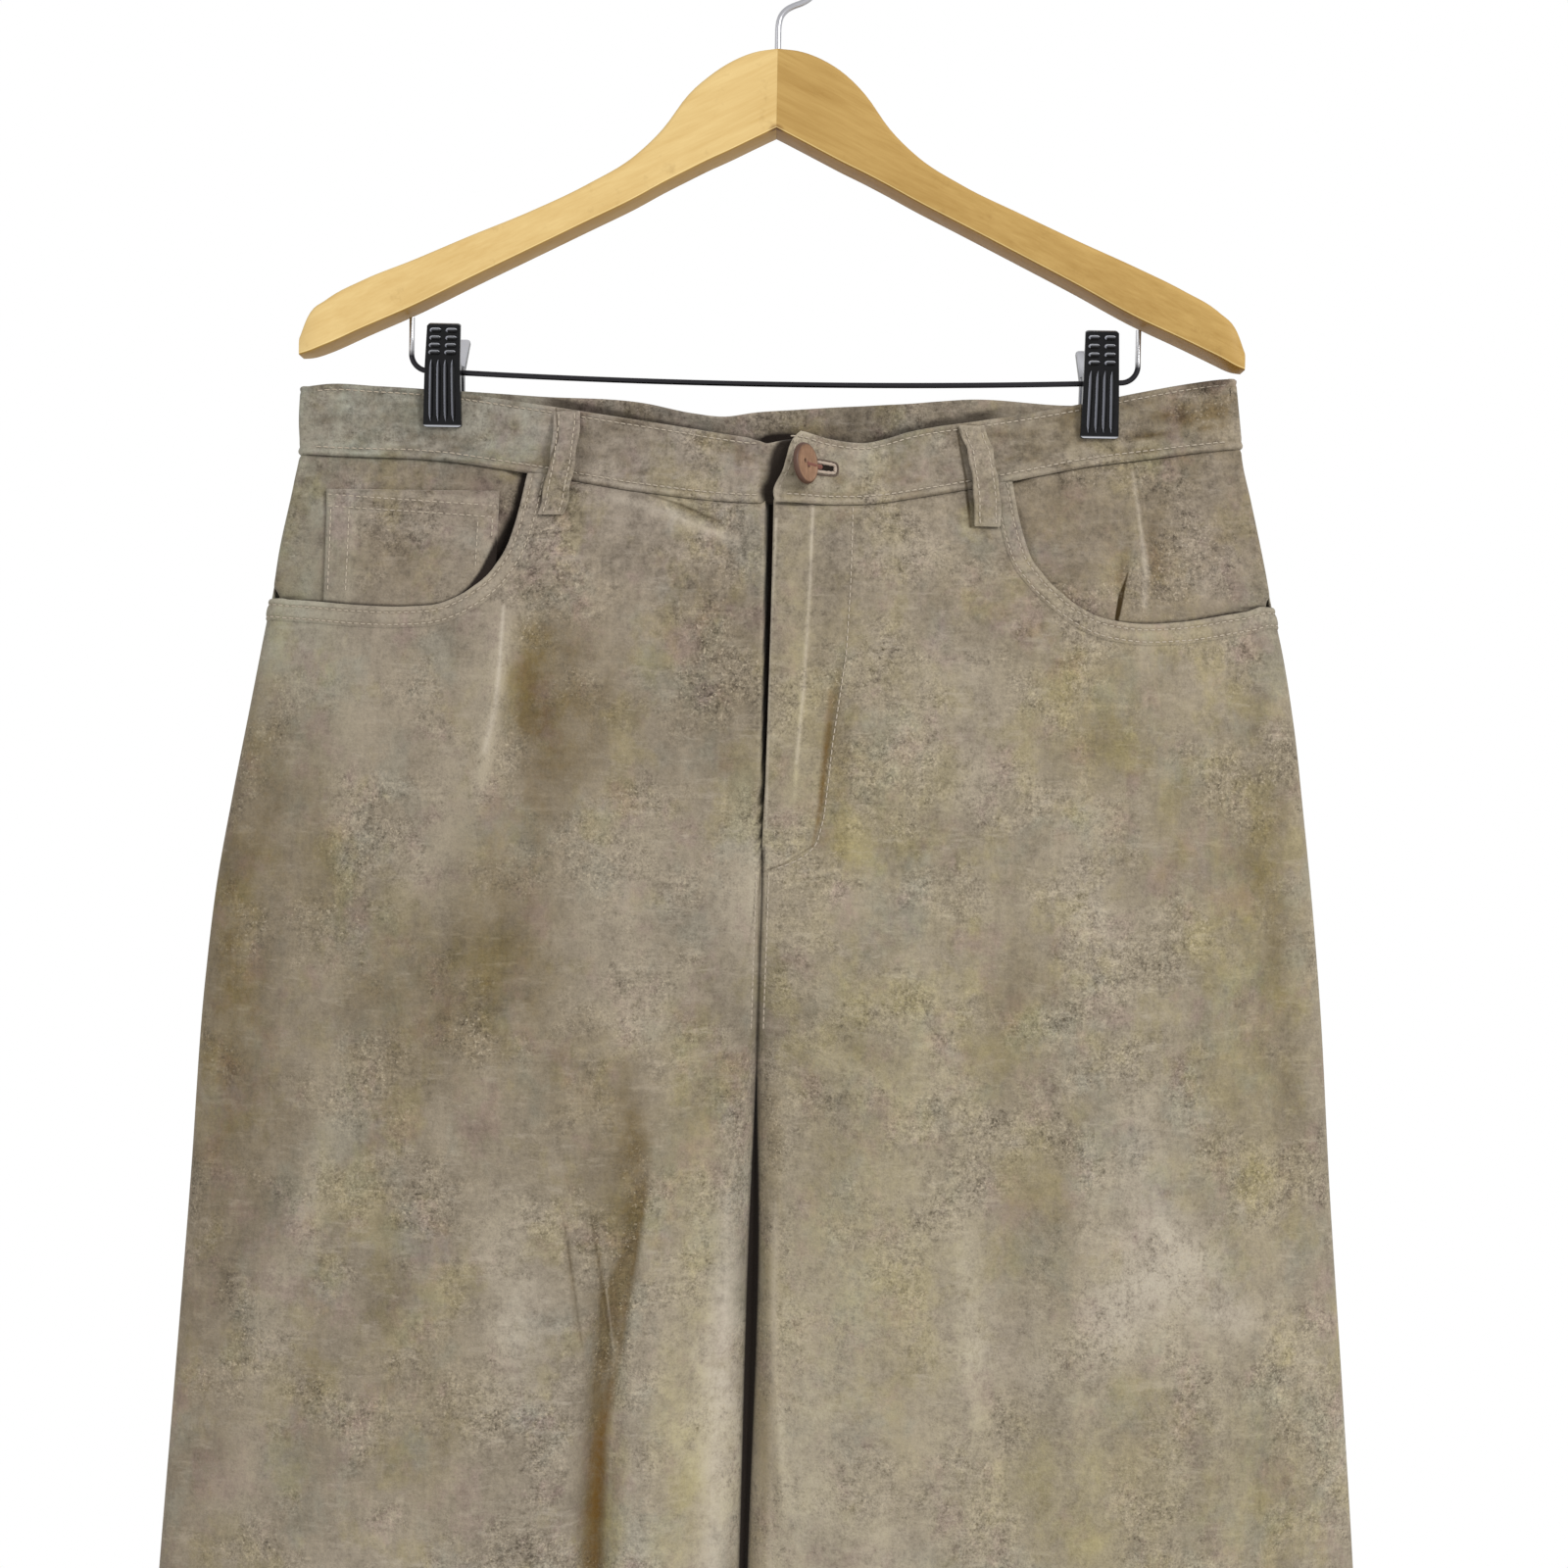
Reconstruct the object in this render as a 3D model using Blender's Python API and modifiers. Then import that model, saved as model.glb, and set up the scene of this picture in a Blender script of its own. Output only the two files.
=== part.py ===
"""Suede trousers worn by a wooden clip hanger, in metres, +Z up, front facing -Y.

The origin is the inside of the hook's top, where a rail carries the hanger. Left and right
are as seen from the front, so left is -X. Sizes below are in millimetres and MM turns them
into metres. Every piece of cloth is a wall cut from one body surface: `body_point` gives that
surface from the tables of sizes, and each layer lies a stated distance outside or inside it.
"""
import math

import bpy
import numpy as np

MM = 0.001
LEFT, RIGHT = -1.0, 1.0
FRONT, BACK = -1.0, 1.0

# Cloth thicknesses and clearances
SUEDE = 1.2
BAND = 2.4
SEAM_GAP = 0.3
WAIST_GAP = 0.35
THIN_SUEDE = 1.0
LAYER = SUEDE + 0.6
BAND_RISE = 0.6

# Levels of the garment, below the hook's inner top
CROTCH_Z = -536.0
CROTCH_TURN = 92.0
HANG_Y = -16.0

# The garment's outline and depth at each level
BODY_COLUMNS = ("z", "left", "right", "fold", "front", "back")
BODY = (
    (-1300.0, -298.0, 302.0, 10.0, 31.0, 25.0),
    (-1000.0, -289.0, 293.0, 10.0, 29.0, 22.0),
    (-778.0, -277.6, 282.9, 9.0, 29.0, 22.0),
    (-686.0, -271.7, 275.9, 9.0, 30.0, 22.0),
    (-594.0, -266.0, 268.4, 9.0, 31.0, 22.0),
    (-500.0, -260.7, 261.8, 9.0, 32.0, 22.0),
    (-455.0, -256.0, 257.4, 8.7, 31.5, 21.5),
    (-415.0, -249.5, 252.8, 8.5, 31.0, 21.0),
    (-373.0, -242.0, 247.5, 8.0, 30.0, 20.0),
    (-328.0, -234.0, 239.0, 7.0, 28.0, 18.0),
    (-320.0, -232.5, 236.9, 7.0, 28.0, 18.0),
    (-300.0, -229.7, 232.8, 6.5, 27.2, 17.2),
    (-268.0, -223.4, 225.6, 5.6, 26.0, 16.0),
    (-250.0, -220.5, 221.4, 4.5, 25.0, 15.0),
    (-240.0, -221.0, 220.3, 4.2, 24.2, 14.4),
    (-212.0, -219.8, 217.2, 3.2, 22.0, 13.0),
)

# The line where the two halves meet, and how far each leg's inner edge lies from it
CENTRE_COLUMNS = ("z", "centre", "left_leg", "right_leg")
CENTRE = (
    (-1300.0, -3.5, 5.0, 4.5),
    (-778.0, -3.5, 2.5, 2.0),
    (-610.0, -1.5, 2.5, 2.5),
    (-536.0, -1.5, 0.15, 0.15),
    (-440.0, 0.0, 0.15, 0.15),
    (-212.0, 0.0, 0.15, 0.15),
)

# The waist seam and the top of the waistband, front and back
WAIST_COLUMNS = ("x", "front_seam", "front_top", "back_seam", "back_top")
WAIST = (
    (-220.0, -254.0, -223.0, -254.0, -223.0),
    (-208.0, -254.3, -221.3, -254.0, -221.3),
    (-185.0, -254.8, -221.9, -253.8, -221.6),
    (-160.0, -255.5, -223.1, -253.5, -222.4),
    (-110.0, -262.0, -229.5, -255.0, -224.6),
    (-60.0, -270.8, -238.0, -256.0, -226.0),
    (-38.0, -273.6, -241.8, -257.5, -229.8),
    (-22.0, -275.2, -244.5, -258.3, -231.0),
    (-8.0, -275.9, -246.2, -259.0, -228.8),
    (13.0, -275.6, -243.2, -257.5, -227.1),
    (27.0, -275.8, -246.0, -256.5, -226.1),
    (45.0, -275.0, -246.9, -255.5, -225.2),
    (54.0, -273.8, -244.5, -255.0, -224.7),
    (63.0, -272.0, -241.3, -254.3, -224.3),
    (78.0, -269.0, -237.6, -253.2, -223.2),
    (90.0, -266.5, -235.4, -252.0, -222.4),
    (160.0, -251.5, -221.4, -251.5, -222.6),
    (173.0, -249.5, -218.6, -249.5, -218.8),
    (196.0, -246.3, -214.1, -246.3, -214.3),
    (210.0, -244.6, -212.0, -244.6, -212.2),
    (220.0, -243.5, -211.3, -243.5, -211.3),
)

# Clips hold the two layers together at the waist, and let go of them below
CLIP_X = 153.5
PINCH_HALF = 2.3
PINCH_SPREAD = 3.4
PINCH_EDGE = -246.0
PINCH_SPAN = 143.0
PINCH_FROM, PINCH_TO = -246.0, -345.0
SIDE_SWELL, INNER_SWELL = 110.0, 75.0

# Mouth of the front pockets, from the side seam to the waist seam
POCKET_COLUMNS = ("x", "left_z", "right_z")
POCKET = (
    (236.0, -323.5, -319.5),
    (215.0, -324.5, -323.5),
    (190.0, -326.5, -328.0),
    (165.0, -327.0, -329.0),
    (149.0, -325.0, -325.5),
    (136.0, -318.0, -317.0),
    (126.0, -308.0, -307.0),
    (119.0, -294.0, -295.0),
    (114.5, -276.0, -277.0),
    (112.0, -262.5, -262.5),
)
POCKET_MARGIN = 15.0
FACING_REACH = 104.0
FACING_LAYERS = {LEFT: 2.0, RIGHT: 1.5}
COIN_LEFT, COIN_RIGHT, COIN_TOP = -207.0, -126.5, -271.0
COIN_LAYERS = 1.0

# Fly and waistband tab
FLY_BOTTOM = -440.0
FLY_EDGE = 2.0
FLY_UNDER = 9.0
FLY_STEP = 12.0
FLY_LIFT = 1.6
FLY_END_DROP, FLY_END_FADE = 14.0, 12.0
SHIELD_LEFT, SHIELD_RIGHT, SHIELD_LAYERS = -22.0, 34.0, 2.6
ZIP_LEFT, ZIP_RIGHT, ZIP_LAYERS = 11.0, 32.0, 1.0
TAB_COLUMNS = ("height", "x")
TAB = ((0.0, 2.4), (0.14, 1.7), (0.45, 6.0), (0.7, 7.8), (0.9, 10.6), (1.0, 13.6))
TAB_UNDER_X = 25.0
TAB_STEP = (-5.0, -1.5)
TAB_DROP = 2.8
TAB_CURL = 4.0

# Largest folds, with columns side, z_top, z_bottom, x_top, x_mid, x_bottom, width and depth,
# where a depth above 0 is a ridge and one below 0 is a trough
FOLDS = (
    (FRONT, -322.0, -500.0, -119.0, -127.0, -140.0, 12.0, 5.0),
    (FRONT, -330.0, -560.0, -112.0, -97.0, -108.0, 20.0, -5.0),
    (FRONT, -585.0, -1060.0, -50.0, -74.0, -66.0, 13.0, -11.0),
    (FRONT, -560.0, -1000.0, -30.0, -40.0, -38.0, 17.0, 4.0),
    (FRONT, -545.0, -820.0, 124.0, 116.0, 122.0, 18.0, -5.0),
    (FRONT, -700.0, -1360.0, -165.0, -180.0, -186.0, 26.0, -7.0),
    (FRONT, -680.0, -1360.0, 78.0, 90.0, 96.0, 26.0, -7.0),
    (FRONT, -760.0, -1360.0, 190.0, 205.0, 210.0, 24.0, 5.0),
    (BACK, -330.0, -560.0, 108.0, 96.0, 112.0, 20.0, -5.0),
    (BACK, -600.0, -1120.0, 66.0, 84.0, 80.0, 16.0, -9.0),
    (BACK, -640.0, -1360.0, -120.0, -140.0, -146.0, 24.0, -8.0),
    (BACK, -720.0, -1360.0, 176.0, 188.0, 196.0, 26.0, -6.0),
)

# Belt loops, with columns name, side, x_top, z_top, x_bottom, z_bottom, and how far the middle
# bows to the right
LOOP_WIDTH = 12.3
LOOP_WALL = 1.6
LOOP_BASE = 1.4
LOOP_CLEAR = 2.8
LOOPS = (
    ("belt_loop_front_left", FRONT, -94.5, -234.0, -100.5, -282.5, 2.2),
    ("belt_loop_front_right", FRONT, 93.2, -237.5, 100.8, -284.5, 1.4),
    ("belt_loop_back_left", BACK, -104.0, -227.0, -104.0, -276.0, 0.0),
    ("belt_loop_back_middle", BACK, 0.0, -230.0, 0.0, -279.0, 0.0),
    ("belt_loop_back_right", BACK, 104.0, -223.0, 104.0, -273.0, 0.0),
)

# Button on the tab, its left edge pulled out so that it faces to the right
BUTTON_X, BUTTON_Z = 16.3, -259.0
BUTTON_RADIUS, BUTTON_THICK = 9.5, 2.6
BUTTON_TURN = math.radians(58.0)
BUTTON_LEAN = math.radians(-5.0)
BUTTON_CLEAR = 0.7

# Wooden arms: outline of each arm by distance from the middle
ARM_COLUMNS = ("x", "left_top", "left_bottom", "right_top", "right_bottom")
ARM = (
    (0.15, -57.2, -95.6, -57.2, -95.6),
    (11.0, -59.2, -101.1, -58.5, -101.1),
    (22.0, -64.1, -106.8, -62.7, -106.8),
    (32.0, -71.1, -111.7, -69.2, -112.0),
    (42.0, -80.6, -117.1, -79.2, -116.9),
    (53.0, -96.3, -123.2, -94.6, -122.7),
    (66.0, -109.8, -131.0, -107.7, -129.9),
    (88.0, -124.5, -142.9, -122.2, -141.5),
    (115.0, -139.0, -157.6, -135.9, -156.0),
    (142.0, -151.8, -172.4, -149.4, -170.8),
    (168.0, -164.7, -187.0, -162.0, -185.8),
    (190.0, -175.2, -198.2, -173.6, -196.8),
    (206.0, -185.2, -206.6, -184.0, -205.1),
    (214.5, -193.6, -210.2, -193.3, -209.6),
    (218.0, -202.5, -211.0, -202.0, -210.6),
)
ARM_THICK = 21.0
ARM_ROUND = 3.5
ARM_SWEEP = 30.0
ARM_HALF = 218.0

# Steel hook and rod
HOOK_WIRE = 1.5
HOOK_INNER = 18.0
HOOK_NECK = ((0.0, -56.8), (0.0, -45.5), (0.3, -42.0), (1.3, -39.0), (3.8, -36.2), (7.3, -34.4),
             (11.1, -33.1))
ROD_WIRE = 1.3
ROD_ENDS = (-169.3, 171.7)
ROD_Z = -214.0
ROD_SAG = 3.5
ROD_CORNER = 8.0
ROD_TOP = -189.2

# Clips: side profile of one half, with columns distance from the middle of the cloth and z
CLIP_WIDTH = 16.5
CLIP_HALF = (
    (3.2, -241.0),
    (5.8, -241.0),
    (8.2, -226.0),
    (9.6, -213.0),
    (17.6, -193.0),
    (15.2, -192.0),
    (7.0, -209.8),
    (1.6, -211.6),
    (1.6, -216.2),
    (3.2, -219.0),
)
LEVER_FOOT, LEVER_TALL = -213.0, 20.0

# The four halves, with columns name, half, side, and how far the lever's top leans to the
# middle and lies below the profile's
CLIPS = (
    ("clip_left_front", LEFT, FRONT, 1.6, 2.4),
    ("clip_left_back", LEFT, BACK, 1.8, 4.2),
    ("clip_right_front", RIGHT, FRONT, 1.0, 0.5),
    ("clip_right_back", RIGHT, BACK, 1.5, 4.5),
)

# Rows and columns of the cloth grids
PANEL_LEVELS = (-470.0, -500.0, -518.0, -530.0, -538.0, -552.0, -580.0, -620.0, -670.0, -725.0,
                -780.0, -850.0, -930.0, -1010.0, -1090.0, -1170.0, -1240.0, -1300.0)
UPPER_ROWS = 6
BAND_LEVELS = (0.0, 0.14, 0.38, 0.7, 1.0)
SUEDE_COLOUR = (0.29, 0.225, 0.165)
FACING_COLOUR = (0.25, 0.19, 0.14)
WOOD_COLOUR = (0.58, 0.38, 0.16)


def smooth(t):
    """Ease from 0 to 1 as t goes from 0 to 1."""
    t = np.clip(t, 0.0, 1.0)
    return t * t * (3.0 - 2.0 * t)


def read(table, columns, name, at):
    """Read one named column of a table, eased between its rows, at values of the first column."""
    rows = np.array(table)
    order = np.argsort(rows[:, 0])
    known = rows[order, 0]
    value = rows[order, columns.index(name)]
    slope = np.gradient(value, known)
    at = np.clip(at, known[0], known[-1])
    i = np.clip(np.searchsorted(known, at) - 1, 0, len(known) - 2)
    step = known[i + 1] - known[i]
    t = (at - known[i]) / step
    rise = value[i + 1] - value[i]
    bend_in = slope[i] * step - rise
    bend_out = rise - slope[i + 1] * step
    return value[i] + rise * t + t * (1.0 - t) * (bend_in * (1.0 - t) + bend_out * t)


def body(name, z):
    """One column of the body table at height z."""
    return read(BODY, BODY_COLUMNS, name, z)


def waist(name, x):
    """Height of a waist line at x."""
    return read(WAIST, WAIST_COLUMNS, name, x)


def leg_share(z):
    """0 where the halves are one body, 1 where each leg is a tube of its own."""
    return smooth((CROTCH_Z + CROTCH_TURN - z) / CROTCH_TURN) ** 1.5


def side_edge(half, z):
    """x of the side seam."""
    return body("left" if half == LEFT else "right", z)


def inner_edge(half, z):
    """x of the centre seam, and of the leg's inner seam below the crotch."""
    gap = read(CENTRE, CENTRE_COLUMNS, "left_leg" if half == LEFT else "right_leg", z)
    return read(CENTRE, CENTRE_COLUMNS, "centre", z) + half * np.maximum(gap, SEAM_GAP / 2)


def fold_height(side, x, z):
    """Sum of the soft ridges and troughs at a place on the front or back."""
    total = np.zeros(np.broadcast(x, z).shape)
    for face, z_top, z_bottom, x_top, x_mid, x_bottom, width, depth in FOLDS:
        if face != side:
            continue
        t = (z_top - z) / (z_top - z_bottom)
        middle = x_top * (1 - t) * (1 - 2 * t) + x_mid * 4 * t * (1 - t) + x_bottom * t * (2 * t - 1)
        fade = smooth(t / 0.3) * smooth((1.0 - t) / 0.3)
        total = total + depth * fade * np.exp(-((x - middle) / width) ** 2)
    return total


def turn(run, radius):
    """Distance in from the edge, and rise, after a run of cloth around a quarter fold."""
    angle = np.clip(run / radius, 0.0, math.pi / 2)
    past = np.maximum(run - radius * math.pi / 2, 0.0)
    return radius * (1.0 - np.cos(angle)) + past, radius * np.sin(angle)


def run_length(half, z, reach=0.0):
    """Length of cloth from the side seam to the inner edge, plus a reach past it."""
    radius = body("fold", z)
    width = abs(inner_edge(half, z) - side_edge(half, z)) + reach
    return width + (math.pi / 2 - 1.0) * radius * (1.0 + leg_share(z))


def run_at(half, x, z):
    """Length of cloth from the side seam to x, for a place past the side fold."""
    return np.abs(x - side_edge(half, z)) + (math.pi / 2 - 1.0) * body("fold", z)


def body_point(half, side, run, z, reach=0.0):
    """Point of the body surface after a run of cloth in from the side seam, at height z."""
    radius = body("fold", z)
    legs = leg_share(z)
    back_run = run_length(half, z, reach) - run
    from_side, side_rise = turn(run, radius)
    from_inner, inner_rise = turn(back_run, radius)
    turned = back_run - (math.pi / 2 - 1.0) * radius - from_inner
    x = side_edge(half, z) - half * (from_side + legs * turned)
    depth = body("front" if side == FRONT else "back", z)
    side_swell = np.sin(np.clip(from_side / SIDE_SWELL, 0.0, 1.0) * math.pi / 2) ** 1.4
    inner_swell = np.sin(np.clip(from_inner / INNER_SWELL, 0.0, 1.0) * math.pi / 2) ** 1.2
    open_rise = side_rise * (1 - legs + legs * inner_rise / radius)
    swell = side_swell * (1 - legs + legs * inner_swell)
    loose = open_rise + (depth - radius) * swell + fold_height(side, x, z) * swell
    between = np.clip(np.abs(x) / PINCH_SPAN, 0.0, 1.0)
    half_stack = PINCH_HALF + PINCH_SPREAD * smooth((PINCH_EDGE - z) / 12.0)
    held = np.minimum(side_rise, half_stack)
    held = held + (depth - half_stack) * np.cos(between * math.pi / 2) ** 2
    grip = smooth((z - PINCH_TO) / (PINCH_FROM - PINCH_TO))
    rise = grip * held + (1.0 - grip) * loose
    y = HANG_Y + side * (SEAM_GAP / 2 + rise)
    return np.stack([x, y, z + 0.0 * x], axis=-1)


def body_normal(half, side, run, z, reach=0.0):
    """Unit normal of the body surface, pointing out of the garment."""
    step = 0.2
    along = body_point(half, side, run + step, z, reach) - body_point(half, side, run - step, z, reach)
    up = body_point(half, side, run, z + step, reach) - body_point(half, side, run, z - step, reach)
    normal = np.cross(along, up) * side * half
    at_seam = np.abs(run) < 0.01
    normal[at_seam, 1] = 0.0
    at_inner = (np.abs(run_length(half, z, reach) - run) < 0.01) & (leg_share(z) > 0.999)
    normal[at_inner, 1] = 0.0
    return normal / np.linalg.norm(normal, axis=-1, keepdims=True)


def layer(half, side, run, z, out=0.0, reach=0.0):
    """Grid of points a distance outside the body surface, or inside it where out is negative."""
    out = np.broadcast_to(out, np.shape(run))[..., None]
    return body_point(half, side, run, z, reach) + out * body_normal(half, side, run, z, reach)


def collection_for(name):
    """A collection of the scene, made when first asked for."""
    found = bpy.data.collections.get(name)
    if found is None:
        found = bpy.data.collections.new(name)
        bpy.context.scene.collection.children.link(found)
    return found


def material(name, colour, roughness, metallic=0.0):
    """A plain material with a colour, a roughness and a metallic value."""
    made = bpy.data.materials.new(name)
    made.use_nodes = True
    shader = made.node_tree.nodes["Principled BSDF"]
    shader.inputs["Base Color"].default_value = (*colour, 1.0)
    shader.inputs["Roughness"].default_value = roughness
    shader.inputs["Metallic"].default_value = metallic
    return made


def add_object(name, data, colour, roughness, metallic=0.0):
    """Put a mesh or curve into the object's collection with its own material."""
    made = bpy.data.objects.new(name, data)
    data.materials.append(material(name, colour, roughness, metallic))
    collection_for("suede_trousers_on_hanger").objects.link(made)
    return made


def quads_of_grid(rows, columns, start, flip):
    """Index quads of a grid of points, counted from start."""
    quads = []
    for r in range(rows - 1):
        for c in range(columns - 1):
            a = start + r * columns + c
            quad = (a, a + 1, a + columns + 1, a + columns)
            quads.append(quad[::-1] if flip else quad)
    return quads


def faces_inward(outer, inner):
    """Whether a grid's rows and columns turn so that its quads would face its inner grid."""
    along = outer[1:-1, 2:] - outer[1:-1, :-2]
    down = outer[2:, 1:-1] - outer[:-2, 1:-1]
    out = (outer - inner)[1:-1, 1:-1]
    return np.sum(np.cross(along, down) * out) < 0.0


def wall(name, outer, inner, colour=SUEDE_COLOUR):
    """A closed wall between an outer and an inner grid of points, joined round its rim."""
    rows, columns = outer.shape[:2]
    count = rows * columns
    flip = faces_inward(outer, inner)
    points = np.concatenate([outer.reshape(-1, 3), inner.reshape(-1, 3)]) * MM
    faces = quads_of_grid(rows, columns, 0, flip) + quads_of_grid(rows, columns, count, not flip)
    rim = [c for c in range(columns)]
    rim += [r * columns + columns - 1 for r in range(1, rows)]
    rim += [(rows - 1) * columns + c for c in range(columns - 2, -1, -1)]
    rim += [r * columns for r in range(rows - 2, 0, -1)]
    for a, b in zip(rim, rim[1:] + rim[:1]):
        quad = (b, a, a + count, b + count)
        faces.append(quad[::-1] if flip else quad)
    mesh = bpy.data.meshes.new(name)
    mesh.from_pydata([tuple(p) for p in points], [], faces)
    mesh.shade_smooth()
    mesh.set_sharp_from_angle(angle=math.radians(40.0))
    return add_object(name, mesh, colour, 0.95)


def cloth(name, half, side, run, z, out=0.0, thick=SUEDE, reach=0.0, colour=SUEDE_COLOUR):
    """A wall of cloth whose outer face lies a distance outside the body surface."""
    outer = layer(half, side, run, z, out, reach)
    inner = layer(half, side, run, z, np.asarray(out) - thick, reach)
    return wall(name, outer, inner, colour)


def along_path(points, count):
    """Evenly spaced points along a path."""
    points = np.array(points)
    length = np.concatenate([[0.0], np.cumsum(np.linalg.norm(np.diff(points, axis=0), axis=1))])
    at = np.linspace(0.0, length[-1], count)
    return np.stack([np.interp(at, length, points[:, i]) for i in range(2)], axis=1)


def pocket_height(half, x):
    """Height of the pocket mouth at a distance x from the middle."""
    return read(POCKET, POCKET_COLUMNS, "left_z" if half == LEFT else "right_z", np.abs(x))


def pocket_path(half, count):
    """Points of the pocket mouth, from past the side fold up to the waist seam."""
    ends = (POCKET[0][0] - 12.0, POCKET[-1][0])
    x = np.linspace(ends[0], ends[1], 60)
    path = np.stack([half * x, pocket_height(half, x)], axis=1)
    return along_path(path, count)


def front_top(half, inner_x):
    """Runs and heights along a front panel's upper edge: side fold, pocket mouth, waist seam."""
    mouth = pocket_path(half, 9)
    seam_x = np.linspace(mouth[-1, 0], inner_x, 8)[1:]
    seam_z = waist("front_seam", seam_x) - WAIST_GAP
    x = np.concatenate([mouth[:, 0], seam_x])
    z = np.concatenate([mouth[:, 1], seam_z])
    side_z = float(pocket_height(half, POCKET[0][0]))
    fold = float(body("fold", side_z)) * math.pi / 2
    runs = np.concatenate([[0.0, fold / 2, fold], run_at(half, x, z)])
    return runs, np.concatenate([[side_z] * 3, z])


def panel_grid(half, top_run, top_z, reach=0.0, reach_at=None):
    """Runs and heights of a panel, eased from its upper edge into level rows down to the hem."""
    upper = np.linspace(0.0, 1.0, UPPER_ROWS, endpoint=False)[:, None]
    level = np.array(PANEL_LEVELS)[:, None]
    z = np.concatenate([top_z + (PANEL_LEVELS[0] - top_z) * upper, level + 0.0 * top_z])
    blend = np.concatenate([smooth(upper), np.ones_like(level)])
    edge = reach_at(z[:, -1:]) if reach_at else reach + 0.0 * z[:, -1:]
    whole = run_length(half, z, edge)
    fold = body("fold", z) * math.pi / 2
    even = np.linspace(0.0, 1.0, len(top_run) - 4)
    folds = np.concatenate([[0.0, 0.5], np.ones_like(even), [1.5, 2.0]])
    flat = np.concatenate([[0.0, 0.0], even, [1.0, 1.0]])
    hem = folds * fold + flat * (whole - 2.0 * fold)
    top_share = top_run / top_run[-1]
    top = whole * top_share
    return top * (1 - blend) + hem * blend, z, edge


def build_front(half):
    """One front panel, from pocket mouth and waist seam to hem, with the fly on its inner edge."""
    def reach_at(z):
        past = FLY_UNDER if half == LEFT else -FLY_EDGE
        return past * smooth((z - FLY_BOTTOM + FLY_END_DROP) / FLY_END_FADE)

    name = "front_left" if half == LEFT else "front_right"
    top_edge = FLY_UNDER if half == LEFT else FLY_EDGE
    runs, heights = front_top(half, top_edge)
    run, z, reach = panel_grid(half, runs, heights, reach_at=reach_at)
    x = layer(half, FRONT, run, z, 0.0, reach)[..., 0]
    if half == LEFT:
        lapped = smooth((z - FLY_BOTTOM + 60.0) / 28.0)
        out = -(LAYER + 0.4) * smooth((x + FLY_STEP) / 4.0) * lapped
    else:
        lifted = smooth((z - FLY_BOTTOM) / 30.0)
        out = FLY_LIFT * smooth((12.0 - x) / 10.0) * lifted
    return cloth(name, half, FRONT, run, z, out, reach=reach)


def build_back(half):
    """One back panel, from the waist seam to the hem."""
    name = "back_left" if half == LEFT else "back_right"
    x = np.linspace(side_edge(half, -254.0) - half * 4.0, inner_edge(half, -254.0), 13)
    z = waist("back_seam", x) - WAIST_GAP
    fold = float(body("fold", z[0])) * math.pi / 2
    runs = np.concatenate([[0.0, fold / 2], run_at(half, x, z)])
    runs[2] = fold
    heights = np.concatenate([[z[0]] * 2, z])
    run, z, reach = panel_grid(half, runs, heights)
    return cloth(name, half, BACK, run, z, reach=reach)


def band_rows(line_name, x):
    """Heights of a waistband from just above its seam to its top edge."""
    seam = waist(line_name + "_seam", x) + WAIST_GAP
    top = waist(line_name + "_top", x)
    return seam + (top - seam) * np.array(BAND_LEVELS)[:, None]


def tab_curl(x):
    """How far the waistband's tab curls out of the band at x."""
    return TAB_CURL * smooth((30.0 - x) / 26.0)


def build_front_band(half):
    """One front half of the waistband: the left one runs under the tab, the right one is the tab."""
    rise = np.array(BAND_LEVELS)[:, None]
    start = side_edge(half, -240.0) - half * 4.0
    if half == LEFT:
        step_from, step_to = TAB_STEP
        x = np.concatenate([np.linspace(start, step_from, 14), [step_to, 11.0, TAB_UNDER_X]]) + 0.0 * rise
    else:
        end = read(TAB, TAB_COLUMNS, "x", rise)
        x = start + (end - start) * np.linspace(0.0, 1.0, 17)
    seam = waist("front_seam", x) + WAIST_GAP
    top = waist("front_top", x)
    if half == LEFT:
        top = top - TAB_DROP * smooth((x + 12.0) / 12.0)
    z = seam + (top - seam) * rise
    fold = body("fold", z[:, :1]) * math.pi / 2
    run = np.concatenate([0 * fold, fold / 2, run_at(half, x, z)], axis=1)
    run[:, 2:3] = fold
    z = np.concatenate([z[:, :1], z[:, :1], z], axis=1)
    out = np.full(run.shape, BAND_RISE)
    if half == LEFT:
        under = smooth((x - step_from) / (step_to - step_from))
        out[:, 2:] = BAND_RISE - (BAND + 2 * SEAM_GAP) * under
    else:
        out[:, 2:] = BAND_RISE + tab_curl(x)
    reach = TAB_UNDER_X + 1.0
    name = "waistband_front_left" if half == LEFT else "waistband_front_right"
    return cloth(name, half, FRONT, run, z, out, thick=BAND, reach=reach)


def build_back_band():
    """The back of the waistband, in one piece from side to side."""
    outer_parts = []
    inner_parts = []
    for half in (LEFT, RIGHT):
        x = np.linspace(side_edge(half, -240.0) - half * 4.0, 0.0, 11)
        z = band_rows("back", x)
        fold = body("fold", z[:, :1]) * math.pi / 2
        run = np.concatenate([0 * fold, fold / 2, run_at(half, x + 0 * z, z)], axis=1)
        run[:, 2:3] = fold
        z = np.concatenate([z[:, :1], z[:, :1], z], axis=1)
        outer = layer(half, BACK, run, z, BAND_RISE, 1.0)
        inner = layer(half, BACK, run, z, BAND_RISE - BAND, 1.0)
        if half == RIGHT:
            outer, inner = outer[:, -2::-1], inner[:, -2::-1]
        outer_parts.append(outer)
        inner_parts.append(inner)
    outer = np.concatenate(outer_parts, axis=1)
    inner = np.concatenate(inner_parts, axis=1)
    return wall("waistband_back", outer, inner)


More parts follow.
